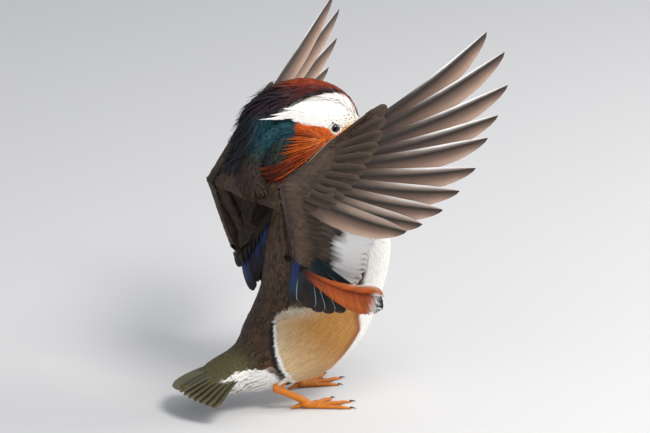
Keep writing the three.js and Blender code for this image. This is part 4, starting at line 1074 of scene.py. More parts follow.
def sail_shades(t, y):
    outer = soft_step(np.abs(y), 0.3, 0.6) * soft_step(t, 0.3, 0.5)
    tone = mixed(tint("9c3a0c", t), tint("d96a22", t), outer)
    # Painted shade: the root is painted dark where it runs under the coverts.
    tone = mixed(tint("35170b", t), tone, soft_step(t, 0.14, 0.24))
    tone = mixed(tone, tint("f2e4d4", t), soft_step(y, 0.9, 0.1) * soft_step(t, 0.6, 0.2))
    tone = mixed(tone, tint("f4efe8", t), soft_step(t, 0.9, 0.05) * soft_step(-y, -0.1, 0.3))
    return mixed(tone, tint("141a2c", t), soft_step(t, 0.96, 0.03) * soft_step(-y, -0.3, 0.3))


def covert_shades(t, y):
    tone = mixed(tint("2c2119", t), tint("48382d", t), soft_step(np.abs(y), 0.55, 0.6))
    return mixed(tone, tint("5c4a3c", t), soft_step(t, 0.92, 0.16) * 0.6)


def alula_shades(t, y):
    return mixed(tint("3a2e27", t), tint("8f7d70", t), soft_step(y, 0.75, 0.3))


def scapular_shades(t, y):
    tone = mixed(tint("1c1410", t), tint("1a2f78", t), soft_step(y, -0.4, 0.5) * soft_step(t, 0.12, 0.2))
    tone = mixed(tone, tint("0a4050", t), soft_step(t, 0.5, 0.25) * soft_step(y, 0.0, 0.5))
    return mixed(tone, tint("08090e", t), soft_step(t, 0.78, 0.2))


def mantle_shades(t, y):
    tone = mixed(tint("2c2017", t), tint("463424", t), soft_step(np.abs(y), 0.5, 0.6))
    tone = mixed(tone, tint("0e0d10", t), soft_step(t, 0.55, 0.4) * 0.85)
    return mixed(tone, tint("17100c", t), soft_step(-np.abs(y), -0.12, 0.12) * 0.7)


flight_finish = plumage("flight feather", barbs=70, dark=0.16, relief=0.3, roughness=0.5, specular=0.35)
covert_finish = plumage("wing covert", barbs=26, dark=0.25, relief=0.3, roughness=0.55)
gloss_finish = plumage("shining feather", barbs=44, dark=0.25, relief=0.35, roughness=0.5, specular=0.3)
sail_finish = plumage("sail feather", barbs=30, dark=0.42, relief=0.5, roughness=0.5, specular=0.3)


def long_feathers(name, shapes, shades, finish, slot="wing_plumage", camber=0.06):
    """One piece of long feathers side by side; each has its own patch in a row of the unwrap."""
    spine, normal, half, way = shapes
    count = len(way)
    bake = np.stack([0.02 + 0.96 * (np.arange(count) + 0.5) / count, np.full(count, 0.5)], -1)
    piece = feather_piece(name, spine, normal, half, flight_paint(shades, way), bake, finish,
                          ring=LONG_RING, thick=0.42, camber=camber)
    return dress(piece, slot)


def weave(root, tip, share):
    """Points at shares of the way from root to tip."""
    return root + (tip - root) * np.asarray(share, float)[..., None]


def sail_barbs(name, shapes):
    """The sail's separate barbs, which run from its shaft to both edges and part at its end."""
    spine, normal, half, way = (part[0] for part in shapes)
    along = unit(np.gradient(spine, axis=0))
    upright = unit(normal - along * (normal * along).sum(-1, keepdims=True))
    across = np.cross(along, upright)
    rng = np.random.default_rng(77)
    number = SAIL_BARBS
    spines, ups, halves, shades, bakes = [], [], [], [], []
    for edge, way_out in ((0, -1), (1, 1)):
        for face in (1, -1):
            start = np.linspace(0.02, 0.95, number) + rng.uniform(-0.008, 0.008, number)
            t = start[:, None] + rng.uniform(0.13, 0.19, number)[:, None] * STATIONS
            t = np.minimum(t, 1.01)
            index = np.interp(t, FLIGHT_STOPS, np.arange(len(FLIGHT_STOPS))) + np.maximum(t - 1, 0) / 0.02
            out = STATIONS ** 0.85
            wide = np.maximum(np.interp(t, FLIGHT_STOPS, half[:, edge]), 7.0 * (t > 0.9))
            height = face * (0.55 + 0.5 * rng.random(number)[:, None] * STATIONS) - 0.10 * wide * out ** 2
            droop = 8 * np.clip((t - 0.84) / 0.16, 0, 1) ** 1.5 * out
            line = (read_rows(spine, index) + read_rows(across, index) * (way_out * wide * out)[..., None]
                    + read_rows(upright, index) * height[..., None]
                    + np.array([0, 0, -1.0]) * droop[..., None])
            spines.append(line)
            ups.append(face * read_rows(upright, index))
            halves.append(rng.uniform(0.8, 1.15, number)[:, None] * SILKY_TIP)
            tone = LOCK_TONES[(start * 40).astype(int) + 60 * edge] * 0.7 + 0.3 * rng.random(number)
            y = (way_out * way * out + 0 * t)[..., None]
            colour = sail_shades(np.clip(t, 0, 1)[..., None], y)[..., 0, :]
            pale = soft_step(start, 0.86, 0.06) if way_out * way > 0 else 0 * start
            colour = mixed(colour, PAINT["white"] + 0 * colour, pale[:, None] + 0 * t)
            shades.append(colour * (0.62 + 0.62 * np.maximum(tone, pale * 0.6))[:, None, None])
            bakes.append(np.stack([0.02 + 0.96 * start, np.full(number, 0.15 + 0.2 * len(bakes))], -1))
    piece = feather_piece(name, np.concatenate(spines), np.concatenate(ups),
                          np.concatenate(halves)[..., None] * [1, 1], np.concatenate(shades),
                          np.concatenate(bakes), sail_finish, thick=0.25, camber=0.05)
    dress(piece, "wing_plumage")


wings = {word: wing_frame(**facts) for word, facts in WINGS.items()}
for word, wing in wings.items():
    side, spread_way, rise, upper = (wing[key] for key in ("side", "spread", "rise", "upper"))
    under = -upper
    share = np.arange(PRIMARY_COUNT) / (PRIMARY_COUNT - 1)
    roots = weave(wing["hand"], wing["wrist"], 0.06 + 0.9 * share)
    tips = in_wing(wing, PRIMARY_ANGLE, PRIMARY_REACH)
    widths = np.stack([4.2 + 4.0 * share, 16.5 - 0.5 * share], -1)
    shapes = vane_shapes(roots, tips, upper, rise, widths, POINTED, tilt=9, bow=-7.5 + 2.5 * share, arch=3)
    long_feathers("primaries_" + word, shapes, primary_shades, flight_finish)

    share = (np.arange(SECONDARY_COUNT) + 1) / SECONDARY_COUNT
    second_roots = weave(wing["wrist"], wing["elbow"], share * 0.97)
    length = np.interp(share, [0, 1], SECONDARY_LENGTH)[:, None]
    turn = np.radians(-22 - 4 * share)[:, None]
    second_way = np.cos(turn) * spread_way + np.sin(turn) * rise
    length = length * (1 + 1.2 * SECONDARY_STEP[::-1, None])
    second_tips = second_roots + length * second_way + SECONDARY_LIFT * share[:, None] * under
    second_upper = unit(upper * (1 - share[:, None]) + wing["arm_upper"] * share[:, None])
    shapes = vane_shapes(second_roots, second_tips, second_upper, rise, (7, 9.5), BLUNT, tilt=8, arch=3)
    long_feathers("secondaries_" + word, shapes, secondary_shades, flight_finish)

    share = np.arange(INNER_COUNT) / (INNER_COUNT - 1)
    turn = np.radians(np.interp(share, [0, 1], [-25, wing["fan_end"]]))[:, None]
    out = np.array([18] + [13 - 13 * s for s in share[1:]])[:, None]
    reach = np.interp(share, np.arange(5) / 4, TERTIAL_REACH)[:, None]
    inner_tips = wing["elbow"] + reach * (np.cos(turn) * spread_way + np.sin(turn) * rise) + out * under
    inner_tips[1:] += 5 * under
    step = 4 * share[:, None]
    inner_roots = wing["elbow"] + (6 - 3.2 * step) * rise + (1 + 1.5 * step) * spread_way
    shapes = vane_shapes(inner_roots[1:], inner_tips[1:], wing["arm_upper"], rise, (6.5, 9), BLUNT,
                         tilt=11, arch=3)
    long_feathers("tertials_" + word, shapes, tertial_shades, gloss_finish)
    sail_root = wing["elbow"] - 13 * rise + 6 * spread_way + 12 * upper
    shapes = vane_shapes(sail_root[None], inner_tips[:1] + 9 * upper, wing["arm_upper"], rise, (10, 24),
                         SAIL_OUTLINE, tilt=4, bow=-5, arch=5)
    long_feathers("sail_feather_" + word, shapes, sail_shades, sail_finish, camber=0.10)
    sail_barbs("sail_barbs_" + word, shapes)

    share = np.arange(PRIMARY_COUNT) / (PRIMARY_COUNT - 1)
    roots = weave(wing["hand"], wing["wrist"], 0.03 + 0.93 * share) + 3.0 * upper
    way = unit(tips - roots)
    reach = np.linspace(66, 48, PRIMARY_COUNT)[:, None]
    shapes = vane_shapes(roots, roots + way * reach + 1.5 * upper, upper, rise, (5, 7.5), BLUNT,
                         tilt=8, arch=2)
    long_feathers("primary_coverts_" + word, shapes, covert_shades, covert_finish)
    roots = second_roots + 3.0 * second_upper
    reach = np.interp(np.arange(SECONDARY_COUNT), [0, 7, 11], [36, 32, 14])[:, None]
    ends = roots + reach * unit(second_tips - second_roots) + 1.5 * second_upper
    shapes = vane_shapes(roots, ends, second_upper, rise, (5.5, 7), BLUNT, tilt=9, arch=2)
    long_feathers("secondary_coverts_" + word, shapes, covert_shades, covert_finish)
    step = np.arange(3)
    roots = in_wing(wing, 48 + 0 * step, 12 + 4.0 * step, 4.5 - step)
    ends = in_wing(wing, 45.5 - 3.0 * step, 64 - 11.0 * step, 6.5 - 0.5 * step)
    shapes = vane_shapes(roots, ends, upper, rise, (3, 4.5), BLUNT, tilt=8, arch=1.5)
    long_feathers("alula_" + word, shapes, alula_shades, covert_finish)

    share = np.arange(SCAPULAR_COUNT) / (SCAPULAR_COUNT - 1)
    roots = weave(wing["elbow"], wing["shoulder"], 0.1 + 0.8 * share)
    back, inner = np.array([-1.0, 0, 0]), np.array([0, -side, 0.0])
    ends = wing["scapular_end"] + (4 - 4 * share[:, None]) * back + 10 * share[:, None] * inner
    ends = ends + (34 * share[:, None] - 2 * (np.arange(SCAPULAR_COUNT) % 2)[:, None]) * np.array([0, 0, 1.0])
    outward = np.array([-1, 0.75 if side > 0 else 0, 0])
    shapes = vane_shapes(roots, ends, outward, np.array([0, side, 0.0]), (6, 7), BLUNT, tilt=14, arch=5)
    long_feathers("scapulars_" + word, shapes, scapular_shades, gloss_finish)
    first_share = 0.3 if side > 0 else 0.0
    roots = weave(wing["elbow"], wing["shoulder"], first_share + (0.95 - first_share) * share)
    roots = roots + 3 * unit(outward)
    ends = roots + (ends - roots) * 0.45 + 5 * unit(outward)
    shapes = vane_shapes(roots, ends, outward, np.array([0, side, 0.0]), (6, 7), BLUNT, tilt=12, arch=3)
    long_feathers("mantle_feathers_" + word, shapes, mantle_shades, covert_finish)


# The fold of the mantle: as the neck bends back and the wing is held up, the skin between them
# draws into a soft fold, whose brown feathers run over its top and down its back.
FOLD_ROWS = np.array([
    [-14, 15, 199, 21],
    [-22, -18, 208, 26],
    [-34, -36, 203, 20.5],
    [-42, -54, 198, 11.5],
    [-48, -68, 193, 6],
    [-51, -74, 190, 4],
], float)


def fold_form(turn, share, grow=0.0):
    """Points round the fold: turn runs from its front over the top to its back and down."""
    turn, share = np.broadcast_arrays(turn, share)
    row = read_rows(FOLD_ROWS, share)
    step = unit(read_rows(FOLD_ROWS, share + 0.2)[..., :3] - read_rows(FOLD_ROWS, share - 0.2)[..., :3])
    top = unit(np.array([0, 0, 1.0]) - step * step[..., 2:])
    fore = np.cross(step, top)
    fore = fore * np.sign(fore[..., :1])
    size = row[..., 3:] + grow
    return row[..., :3] + size * (fore * np.cos(turn)[..., None] + top * np.sin(turn)[..., None])


def fold_middle(turn, share):
    return read_rows(FOLD_ROWS, share)[..., :3] + 0 * turn[..., None]


def fold_paint(turn, share, draw):
    root = mixed(PAINT["mantle"], PAINT["rump"], 0.5 * draw) * (0.5 + 0.9 * draw)[..., None]
    return root, mixed(root, PAINT["brown_edge"], 0.1 + 0.4 * draw ** 2)


rng = np.random.default_rng(130)
u, v = staggered(fold_form, -1.5, 4.6, 3.0, 3.0, rng, -0.1, 4.9)
lay_coat("mantle_fold", fold_form, fold_middle, u, v, 13, 2.5,
         fold_paint, lambda a, b: np.stack([0.06 + 0.18 * b, 0.1 + 0.13 * (a + 1.6)], -1), coat_finish, rng,
         "body_plumage", sign=1, spare=0.7)


# The coverts: tiers of short feathers that roof over the roots of the long ones, on the upper
# and the under side of each wing, smallest at the leading edge.
COVERT_STOPS = np.array([0, 0.2, 0.45, 0.7, 0.88, 0.97, 1.0])
COVERT_OUTLINE = np.array([0.4, 0.85, 1.0, 0.96, 0.72, 0.4, 0.12])


def arm_line(wing, place):
    """Points, directions of the feathers and upper sides along the arm: elbow 0, wrist 1, hand end 2."""
    place = np.asarray(place, float)
    stops = np.array([0, 1, 1.65, 2.0])
    knots = np.array([wing["elbow"], wing["wrist"], wing["hand"], wing["hand_end"]])
    point = np.stack([np.interp(place, stops, knots[:, k]) for k in range(3)], -1)
    angle = np.interp(place, [0, 0.8, 1.0, 1.3, 1.65, 2.0], [-28, -23, -17, -1, 25, 38])
    angle = np.radians(angle)[..., None]
    lift = np.interp(place, [0, 1, 2], [0.45, 0, 0])[..., None]
    way = unit(np.cos(angle) * wing["spread"] + np.sin(angle) * wing["rise"] - lift * wing["upper"])
    share = np.clip(1 - place, 0, 1)[..., None]
    upper = unit(wing["upper"] * (1 - share) + wing["arm_upper"] * share)
    upper = unit(upper - way * (upper * way).sum(-1, keepdims=True))
    return point, way, upper


def covert_form(wing, face):
    """A form over one side of the arm: u is the distance back from the leading edge."""
    def surface(u, v):
        point, way, upper = arm_line(wing, v)
        bulge = np.interp(v, [0, 0.5, 1, 2], [9.5, 8.5, 7, 3.5])
        height = bulge * np.exp(-(np.clip(u, -9, None) / 15) ** 2) + 3.2 + 0.02 * u
        edge = np.clip(1 - (u + 9) / 7, 0, 1) ** 2
        height = height * (1 - edge)
        return point + way * u[..., None] + upper * (face * height)[..., None]
    return surface


def covert_middle(wing, face):
    def middle_line(u, v):
        point, way, upper = arm_line(wing, v)
        return point + way * u[..., None] - upper * face * 20
    return middle_line


def covert_rows(wing, face, rows, pitch, rng):
    """Roots and sizes of the tiers: each row has its distance from the bone and its length."""
    us, vs, sizes = [], [], []
    for k, (back, size) in enumerate(rows):
        span = np.linalg.norm(wing["wrist"] - wing["elbow"]) + 88
        number = int(span / (pitch * (size / 20) ** 0.7))
        v = (np.arange(number) + 0.5 * (k % 2) + rng.uniform(-0.2, 0.2, number)) / number * 1.98
        us.append(np.full(number, float(back)) + rng.uniform(-0.8, 0.8, number))
        vs.append(v)
        near_elbow = [0.5, 0.6, 1] if face > 0 else [0.9, 1, 1]
        us[-1] = np.where(us[-1] > 0, us[-1] * np.interp(v, [0, 0.18, 0.45], near_elbow), us[-1])
        sizes.append(size * np.interp(v, [0, 0.18, 0.45, 1.5, 2], [*near_elbow, 1, 0.75]))
    return np.concatenate(us), np.concatenate(vs), np.concatenate(sizes)


UPPER_TIERS = [(-9, 10), (-7, 10.5), (-5, 11), (-3, 11.5), (-1, 12), (1, 12.5), (3, 13), (5.5, 14), (8, 15),
               (11, 16.5), (14, 18.5), (17, 22)]
UNDER_TIERS = [(-9, 10), (-6, 11), (-3, 12), (0, 13), (3, 14), (6.5, 16), (10, 19), (12, 26), (10, 38)]


def wing_paint(strength):
    """Brown small feathers with paler tips, scaled as a whole by strength: painted light on the lit side,
    painted shade on the shaded side.
    """
    def paint(u, v, draw):
        speck = (0.7 + 0.6 * draw)[..., None]
        brown = mixed(linear("3f3127"), linear("33281f"), soft_step(u, 14, 10)) * speck * strength
        return brown, brown * 1.75
    return paint


# Painted light and shade: the upper coverts are painted lighter as lit (LIT), the under coverts darker as
# shaded (SHADED).
LIT, SHADED = 0.92, 0.58
COVERT_SIDES = ((1, "upper", UPPER_TIERS, LIT), (-1, "under", UNDER_TIERS, SHADED))
for word, wing in wings.items():
    for face, place_word, tiers, strength in COVERT_SIDES:
        rng = np.random.default_rng(60 + wing["side"] + 10 * face)
        form, line = covert_form(wing, face), covert_middle(wing, face)
        u, v, size = covert_rows(wing, face, tiers[::-1], 5.2, rng)
        height = np.array([-1, 0.15, 0.5, 0.7, 0.75, 0.65, 0.5]) * np.clip(size / 18, 0.5, 1.3)[:, None]
        lay_coat(f"coverts_{place_word}_{word}", form, line, u, v, size, size ** 0.7 * 0.62,
                 wing_paint(strength), lambda a, b: np.stack([0.05 + 0.42 * b, 0.1 + (a + 10) / 40], -1),
                 covert_finish, rng, "wing_plumage", sign=1, turn=0 * u, profile=COVERT_OUTLINE,
                 lift=height, spare=0.35, stops=COVERT_STOPS, thick=0.24, camber=0.07)


# The web of the wing: a flat fold of skin between shoulder, elbow and wrist, which small brown
# feathers cover on both its sides.
def web_form(wing, face):
    """A form over one side of the web: u runs from the front edge to the elbow, v along the edge."""
    shoulder, elbow, wrist = wing["shoulder"], wing["elbow"], wing["wrist"]
    out = unit(np.cross(elbow - shoulder, wrist - shoulder)) * wing["side"] * face

    def surface(u, v):
        front = shoulder + (wrist - shoulder) * v[..., None]
        way = elbow - front
        span = np.linalg.norm(way, axis=-1, keepdims=True)
        share = np.clip(u[..., None] / span, -0.1, 1.2)
        bulge = 2.6 + 9 * np.exp(-((share - 0.95) / 0.4) ** 2) * (1 - 0.5 * v[..., None])
        edge = np.clip(1 + u[..., None] / 4, 0, 1)
        return front + way / span * u[..., None] + out * bulge * edge
    return surface


def web_middle(wing, face):
    form = web_form(wing, face)
    shoulder, elbow, wrist = wing["shoulder"], wing["elbow"], wing["wrist"]
    out = unit(np.cross(elbow - shoulder, wrist - shoulder)) * wing["side"] * face
    return lambda u, v: form(u, v) - 30 * out


for word, wing in wings.items():
    for face, place_word in ((1, "a"), (-1, "b")):
        rng = np.random.default_rng(80 + wing["side"] + 10 * face)
        form = web_form(wing, face)
        u, v = staggered(form, -3.0, 62.0, 3.6, 3.6, rng, -0.04, 1.0)
        front = weave(wing["shoulder"], wing["wrist"], v)
        chosen = u < np.linalg.norm(wing["elbow"] - front, axis=1) - 3
        u, v = u[chosen], v[chosen]
        # Both sides of the web are painted darker with the SHADED strength, as painted shade.
        lay_coat(f"web_coat_{word}_{place_word}", form, web_middle(wing, face), u, v, 11.0, 2.6,
                 wing_paint(SHADED),
                 lambda a, b: np.stack([0.05 + 0.9 * np.clip(b, 0, 1), 0.1 + (a + 4) / 90], -1),
                 covert_finish, rng, "body_plumage", sign=1, lift=(-1, 0.2, 0.7, 0.9, 0.7), thick=0.3)


# The tail: seven pairs of stiff feathers in a fan, roofed by olive coverts above and by long
# soft white ones below.
TAIL_START = -66.3
TAIL_PAIRS = 7


def tail_shades(t, y):
    tone = mixed(tint("3d3a28", t), tint("5f5a3e", t), soft_step(np.abs(y), 0.5, 0.6))
    return mixed(tone, tint("7d7558", t), soft_step(t, 0.9, 0.15) * 0.5)


roots, tips, leads = [], [], []
for i in range(TAIL_PAIRS):
    for side in (1, -1):
        share = (i + 0.5) / TAIL_PAIRS
        reach = 62 - 14 * share ** 2
        turn = math.radians(30 * share)
        drop = 0.8 * i + 0.4 * (side > 0)
        roots.append((TAIL_START - 7, side * 19 * share, 34 - drop))
        tips.append((TAIL_START - reach * math.cos(turn), side * (19 * share + reach * math.sin(turn)),
                     17 - drop - 2.5 * share))
        leads.append((0, side, 0))
shapes = vane_shapes(np.array(roots, float), np.array(tips), np.array([-0.3, 0, 1.0]),
                     np.array(leads, float), (7, 8), BLUNT, tilt=7, arch=2.5)
long_feathers("tail_feathers", shapes, tail_shades, flight_finish, "tail_plumage")


# The skin: one closed form under all the plumage, over trunk, neck, skull, arms, thighs and the
# tail's root, without a seam. It shows only between feathers, and takes their colours.
SKIN_VOXEL = 0.0022
SKIN_DEPTH = 2.4
LEG_STEP = 24
FLESH = ["torso", "neck", "head", "tail"]
FLESH += [f"wing_{word}_{length}" for word in wings for length in ("upper", "forearm", "hand")]


def tube(rings):
    """Points and faces of a closed tube through an array of rings, fanned shut at each end."""
    count, sides = rings.shape[:2]
    points = rings.reshape(-1, 3)
    r, s = np.meshgrid(np.arange(count - 1), np.arange(sides), indexing="ij")
    a = (r * sides + s).ravel()
    b = (r * sides + (s + 1) % sides).ravel()
    quads = np.stack([a, b, b + sides, a + sides], -1)
    ends = np.stack([rings[0].mean(0), rings[-1].mean(0)])
    k = np.arange(sides)
    first = np.stack([(k + 1) % sides, k, np.full(sides, len(points))], -1)
    top = (count - 1) * sides
    last = np.stack([top + k, top + (k + 1) % sides, np.full(sides, len(points) + 1)], -1)
    return np.concatenate([points, ends]), [quads, np.concatenate([first, last])]


def joined(ring_sets):
    """Points and faces of several closed tubes, as one mesh."""
    points, faces, count = [], [], 0
    for rings in ring_sets:
        tube_points, tube_faces = tube(rings)
        points.append(tube_points)
        faces.extend(f + count for f in tube_faces)
        count += len(tube_points)
    return np.concatenate(points), faces


def limb_rings(knots, radii, face, wide=1.2, flat=0.85):
    """Oval rings along a limb, wider across than it is thick."""
    knots = np.array(knots, float)
    fine = np.linspace(0, len(knots) - 1, 8 * (len(knots) - 1) + 1)
    line, size = read_rows(knots, fine), read_rows(np.array(radii, float)[:, None], fine)
    along = unit(np.gradient(line, axis=0))
    top = unit(face - along * (face * along).sum(-1, keepdims=True))
    across = np.cross(along, top)
    turn = np.linspace(0, 2 * math.pi, 24, endpoint=False)
    return (line[:, None] + across[:, None] * (wide * size * np.cos(turn))[..., None]
            + top[:, None] * (flat * size * np.sin(turn))[..., None])


def mottled(name, roughness, specular, scale, detail, low, high):
    """A finish in the mesh's own paint, with a cloudy shade over it."""
    material, shader, add, join = node_material(name, roughness, specular)
    colour = add("Attribute", attribute_name="paint")
    cloud = add("TexNoise", Scale=scale, Detail=detail)
    shade = ranged(add, join, (cloud, "Fac"), low, high)
    tone = times(add, join, (colour, "Color"), (shade, 0))
    join(tone, "Result", shader, "Base Color")
    return material, shader


turns = np.linspace(-math.pi, math.pi, 72, endpoint=False)
skin_rings = [
    body_surface(np.linspace(0, 15, 90)[:, None], turns[None], -SKIN_DEPTH),
    head_surface(np.linspace(0, 7, 50)[:, None], turns[None], -0.9),
    crest_surface(np.linspace(0.3, 6.4, 30)[:, None], turns[None], 0.5),
    nape_surface(np.linspace(0.2, 5.8, 40)[:, None], turns[None], 0.86),
    fold_form(turns[None], np.linspace(0, 5, 28)[:, None], -2.0),
]
for word, wing in wings.items():
    shoulder, elbow, wrist = wing["shoulder"], wing["elbow"], wing["wrist"]
    web_face = unit(np.cross(elbow - shoulder, wrist - shoulder))
    skin_rings.append(limb_rings([shoulder, (shoulder + elbow) / 2, elbow], [13, 11, 7], web_face))
    skin_rings.append(limb_rings([elbow, weave(elbow, wrist, 0.35), wrist], [7, 8.5, 5], wing["arm_upper"]))
    skin_rings.append(limb_rings([wrist, wing["hand"], wing["hand_end"]], [5.2, 4, 1.8], wing["upper"]))
    web_rings = []
    for share in np.linspace(0.06, 0.97, 14):
        lead_point = weave(shoulder, wrist, share)
        rear_point = weave(lead_point, elbow, 0.9)
        span = np.linspace(0, 1, 12)
        top = weave(lead_point, rear_point, span) + web_face * 2.2
        low = weave(lead_point, rear_point, span[::-1]) - web_face * 2.2
        web_rings.append(np.concatenate([top, low]))
    skin_rings.append(np.array(web_rings))
for side, ahead in ((1, 0), (-1, LEG_STEP)):
    thigh = np.array([-14 + ahead, side * 24, 44])
    heel = np.array([-38 + ahead, side * 27, 13])
    skin_rings.append(limb_rings([thigh, weave(heel, thigh, 0.7), weave(heel, thigh, 0.42)], [13, 8.5, 4.2],
                                 np.array([0, 1.0, 0]), 1, 1))

skin_finish, _ = mottled("skin under the coat", 0.8, 0.1, 220.0, 3.0, 0.55, 1.0)
skin_form = mesh_piece("skin_form", *joined(skin_rings), skin_finish)
remesh = skin_form.modifiers.new("one skin", "REMESH")
remesh.mode = "VOXEL"
remesh.voxel_size = SKIN_VOXEL
remesh.use_smooth_shade = True
smooth = skin_form.modifiers.new("soft", "SMOOTH")
smooth.factor = 0.5
smooth.iterations = 4
bpy.context.view_layer.update()
settled = skin_form.evaluated_get(bpy.context.evaluated_depsgraph_get())
skin_mesh = bpy.data.meshes.new_from_object(settled)
skin_mesh.name = "skin"
skin = bpy.data.objects.new("skin", skin_mesh)
bpy.context.scene.collection.objects.link(skin)
bpy.data.objects.remove(skin_form)
if not skin_mesh.materials:
    skin_mesh.materials.append(skin_finish)

near_roots = placed(np.concatenate(skin_roots))
near_paints = np.concatenate(skin_paints)
tree = kdtree.KDTree(len(near_roots))
for i, root in enumerate(near_roots):
    tree.insert(root, i)
tree.balance()
places = np.empty(len(skin_mesh.vertices) * 3, np.float32)
skin_mesh.vertices.foreach_get("co", places)
nearest = [tree.find(p)[1] for p in places.reshape(-1, 3)]
give_paint(skin_mesh, near_paints[nearest])
dress(skin, "body_plumage", *FLESH)


# The eyes: dark brown glossy balls set in the sides of the head, each with a black pupil, and
# pale lids that close over its rim in a raised ring.
EYE_RADIUS = 5.2
LID_LONG, LID_SHORT = 1.06, 0.95
RING_REACHES = (3.9, 4.6, 5.4, 6.3, 7.2)
EYE_OUT = unit(np.array([0.22, 0.96, 0.10]))
PUPIL_EDGE, IRIS_EDGE = 25, 52
eye_finish, eye_shader = mottled("eye", 0.12, 0.3, 1400.0, 2.0, 0.7, 1.2)
eye_shader.inputs["Coat Weight"].default_value = 0.25
eye_shader.inputs["Coat Roughness"].default_value = 0.04

lid_finish, lid_shader, lid_add, lid_join = node_material("lid skin", 0.55)
lid_join(lid_add("Attribute", attribute_name="paint"), "Color", lid_shader, "Base Color")
lid_grain = lid_add("TexVoronoi", Scale=1800.0)
raised(lid_add, lid_join, lid_shader, (lid_grain, "Distance"), 0.35, 0.0002)

PUPIL, IRIS, EYE_BACK = linear("020202"), linear("1f0f08"), linear("0b0705")
for side, word in ((1, "right"), (-1, "left")):
    ahead, right, up = EYE_OUT
    out = unit(ahead * head_ahead + side * right * head_right + up * head_up)
    fore = unit(head_ahead - out * (head_ahead @ out))
    top = np.cross(fore, out)
    top = top * np.sign(top @ head_up)
    centre = on_head(EYE_AHEAD, side * EYE_RIGHT, EYE_UP)
    turn = np.linspace(0, 2 * math.pi, 48, endpoint=False)
    spin = fore * np.cos(turn)[:, None] + top * np.sin(turn)[:, None]

    tilt = np.radians(np.array([2, 8, 14, 20, 24, 26, 28, 34, 42, 50, 54, 60, 75, 90, 110, 130, 150, 170]))
    bulge = EYE_RADIUS + 0.35 * np.exp(-(tilt / 0.5) ** 2)
    rings = (centre + (out * (bulge * np.cos(tilt))[:, None])[:, None]
             + spin[None] * (bulge * np.sin(tilt))[:, None, None])
    eye = mesh_piece("eyeball_" + word, *tube(rings), eye_finish)
    iris = np.where((np.degrees(tilt) < IRIS_EDGE)[:, None], IRIS, EYE_BACK)
    shades = np.where((np.degrees(tilt) < PUPIL_EDGE)[:, None], PUPIL, iris)
    give_paint(eye.data, np.concatenate([np.repeat(shades, len(turn), 0), shades[:1], shades[-1:]]))
    dress(eye, "eye", "eye_" + word)

    rim = np.radians(np.array([47, 46, 47.5, 51, 56, 62, 69, 78, 88, 92]))
    height = np.array([-0.25, 0.1, 0.42, 0.62, 0.72, 0.66, 0.45, 0.1, -0.5, -1.2])
    level = EYE_RADIUS + height
    spread_ring = fore * (LID_LONG * np.cos(turn))[:, None] + top * (LID_SHORT * np.sin(turn))[:, None]
    corner = 1 + 0.05 * np.cos(2 * turn)
    rings = (centre + (out * (level * np.cos(rim))[:, None])[:, None]
             + (spread_ring * corner[:, None])[None] * (level * np.sin(rim))[:, None, None])
    count, sides = rings.shape[:2]
    r, k = np.meshgrid(np.arange(count - 1), np.arange(sides), indexing="ij")
    a, b = (r * sides + k).ravel(), (r * sides + (k + 1) % sides).ravel()
    outer = np.stack([a, b, b + sides, a + sides], -1)
    inner = (outer + count * sides)[:, ::-1]
    inner_rings = rings - out * 0.5
    k = np.arange(sides)
    n = (k + 1) % sides
    total, last = count * sides, (count - 1) * sides
    mouth = np.stack([n, k, k + total, n + total], -1)
    skirt = np.stack([last + k, last + n, last + n + total, last + k + total], -1)
    lid_points = np.concatenate([rings.reshape(-1, 3), inner_rings.reshape(-1, 3)])
    lid = mesh_piece("lids_" + word, lid_points, [np.concatenate([outer, inner, mouth, skirt])], lid_finish)
    tones = np.array([linear("2a201b")] * 2 + [linear("b9b2a8")] + [linear("f4f1ea")] * 7)
    give_paint(lid.data, np.concatenate([np.repeat(tones, sides, 0)] * 2))
    dress(lid, "head_plumage")

    rng = np.random.default_rng(90 + side)
    spines, ups, halves, shades, bakes = [], [], [], [], []
    for ring, reach in enumerate(RING_REACHES):
        number = 44 + 6 * ring
        at = (np.arange(number) + 0.5 * (ring % 2) + rng.uniform(-0.2, 0.2, number)) / number * 2 * math.pi
        flow = 2.6 * (STATIONS - 0.1)
        swirl = np.stack([np.cos(at) * 0.5 - 0.85, np.sin(at) * 0.9], -1)
        swirl = swirl / np.linalg.norm(swirl, axis=-1, keepdims=True)
        flat = np.stack([1.05 * reach * np.cos(at), 0.96 * reach * np.sin(at)], -1)[:, None]
        flat = flat + swirl[:, None] * flow[:, None]
        dome = 3.55 - 0.36 * (np.hypot(flat[..., 0], flat[..., 1]) - 3.6) + 0.25 * STATIONS
        dome = dome - 0.03 * np.maximum(flat[..., 0], 0) ** 2
        spines.append(centre + fore * flat[..., :1] + top * flat[..., 1:] + out * dome[..., None])
        ups.append(np.broadcast_to(out, spines[-1].shape))
        halves.append(np.repeat((0.42 * ROUND_TIP)[None, :, None], number, 0) * [1, 1])
        tones = face_paint(spines[-1][:, 0] + 0.8 * top, rng.random(number))
        shades.append(np.repeat(tones[:, None], len(STATIONS), 1))
        bakes.append(side_bake(spines[-1][:, 0]))
    ring_coat = feather_piece("eye_ring_" + word, np.concatenate(spines), np.concatenate(ups),
                              np.concatenate(halves), np.concatenate(shades), np.concatenate(bakes),
                              face_finish, thick=0.18)
    dress(ring_coat, "head_plumage")


# The bill: red horn in two halves that meet in a closed gape, with a nostril in each side of the
# upper one and a pale hooked nail at its tip.
BILL_START = 42.3
BILL_ROWS = np.array([
    [-3, 5.5, -6.5, 8.2],
    [0, 4, -7, 7.8],
    [8, 1.5, -8, 7],
    [17, -3.5, -9.5, 6.6],
    [25, -7.5, -11, 6],
    [29.5, -9.8, -12.0, 3.6],
    [30.6, -10.8, -12.2, 1.2],
], float)
RING_SIDE = 33


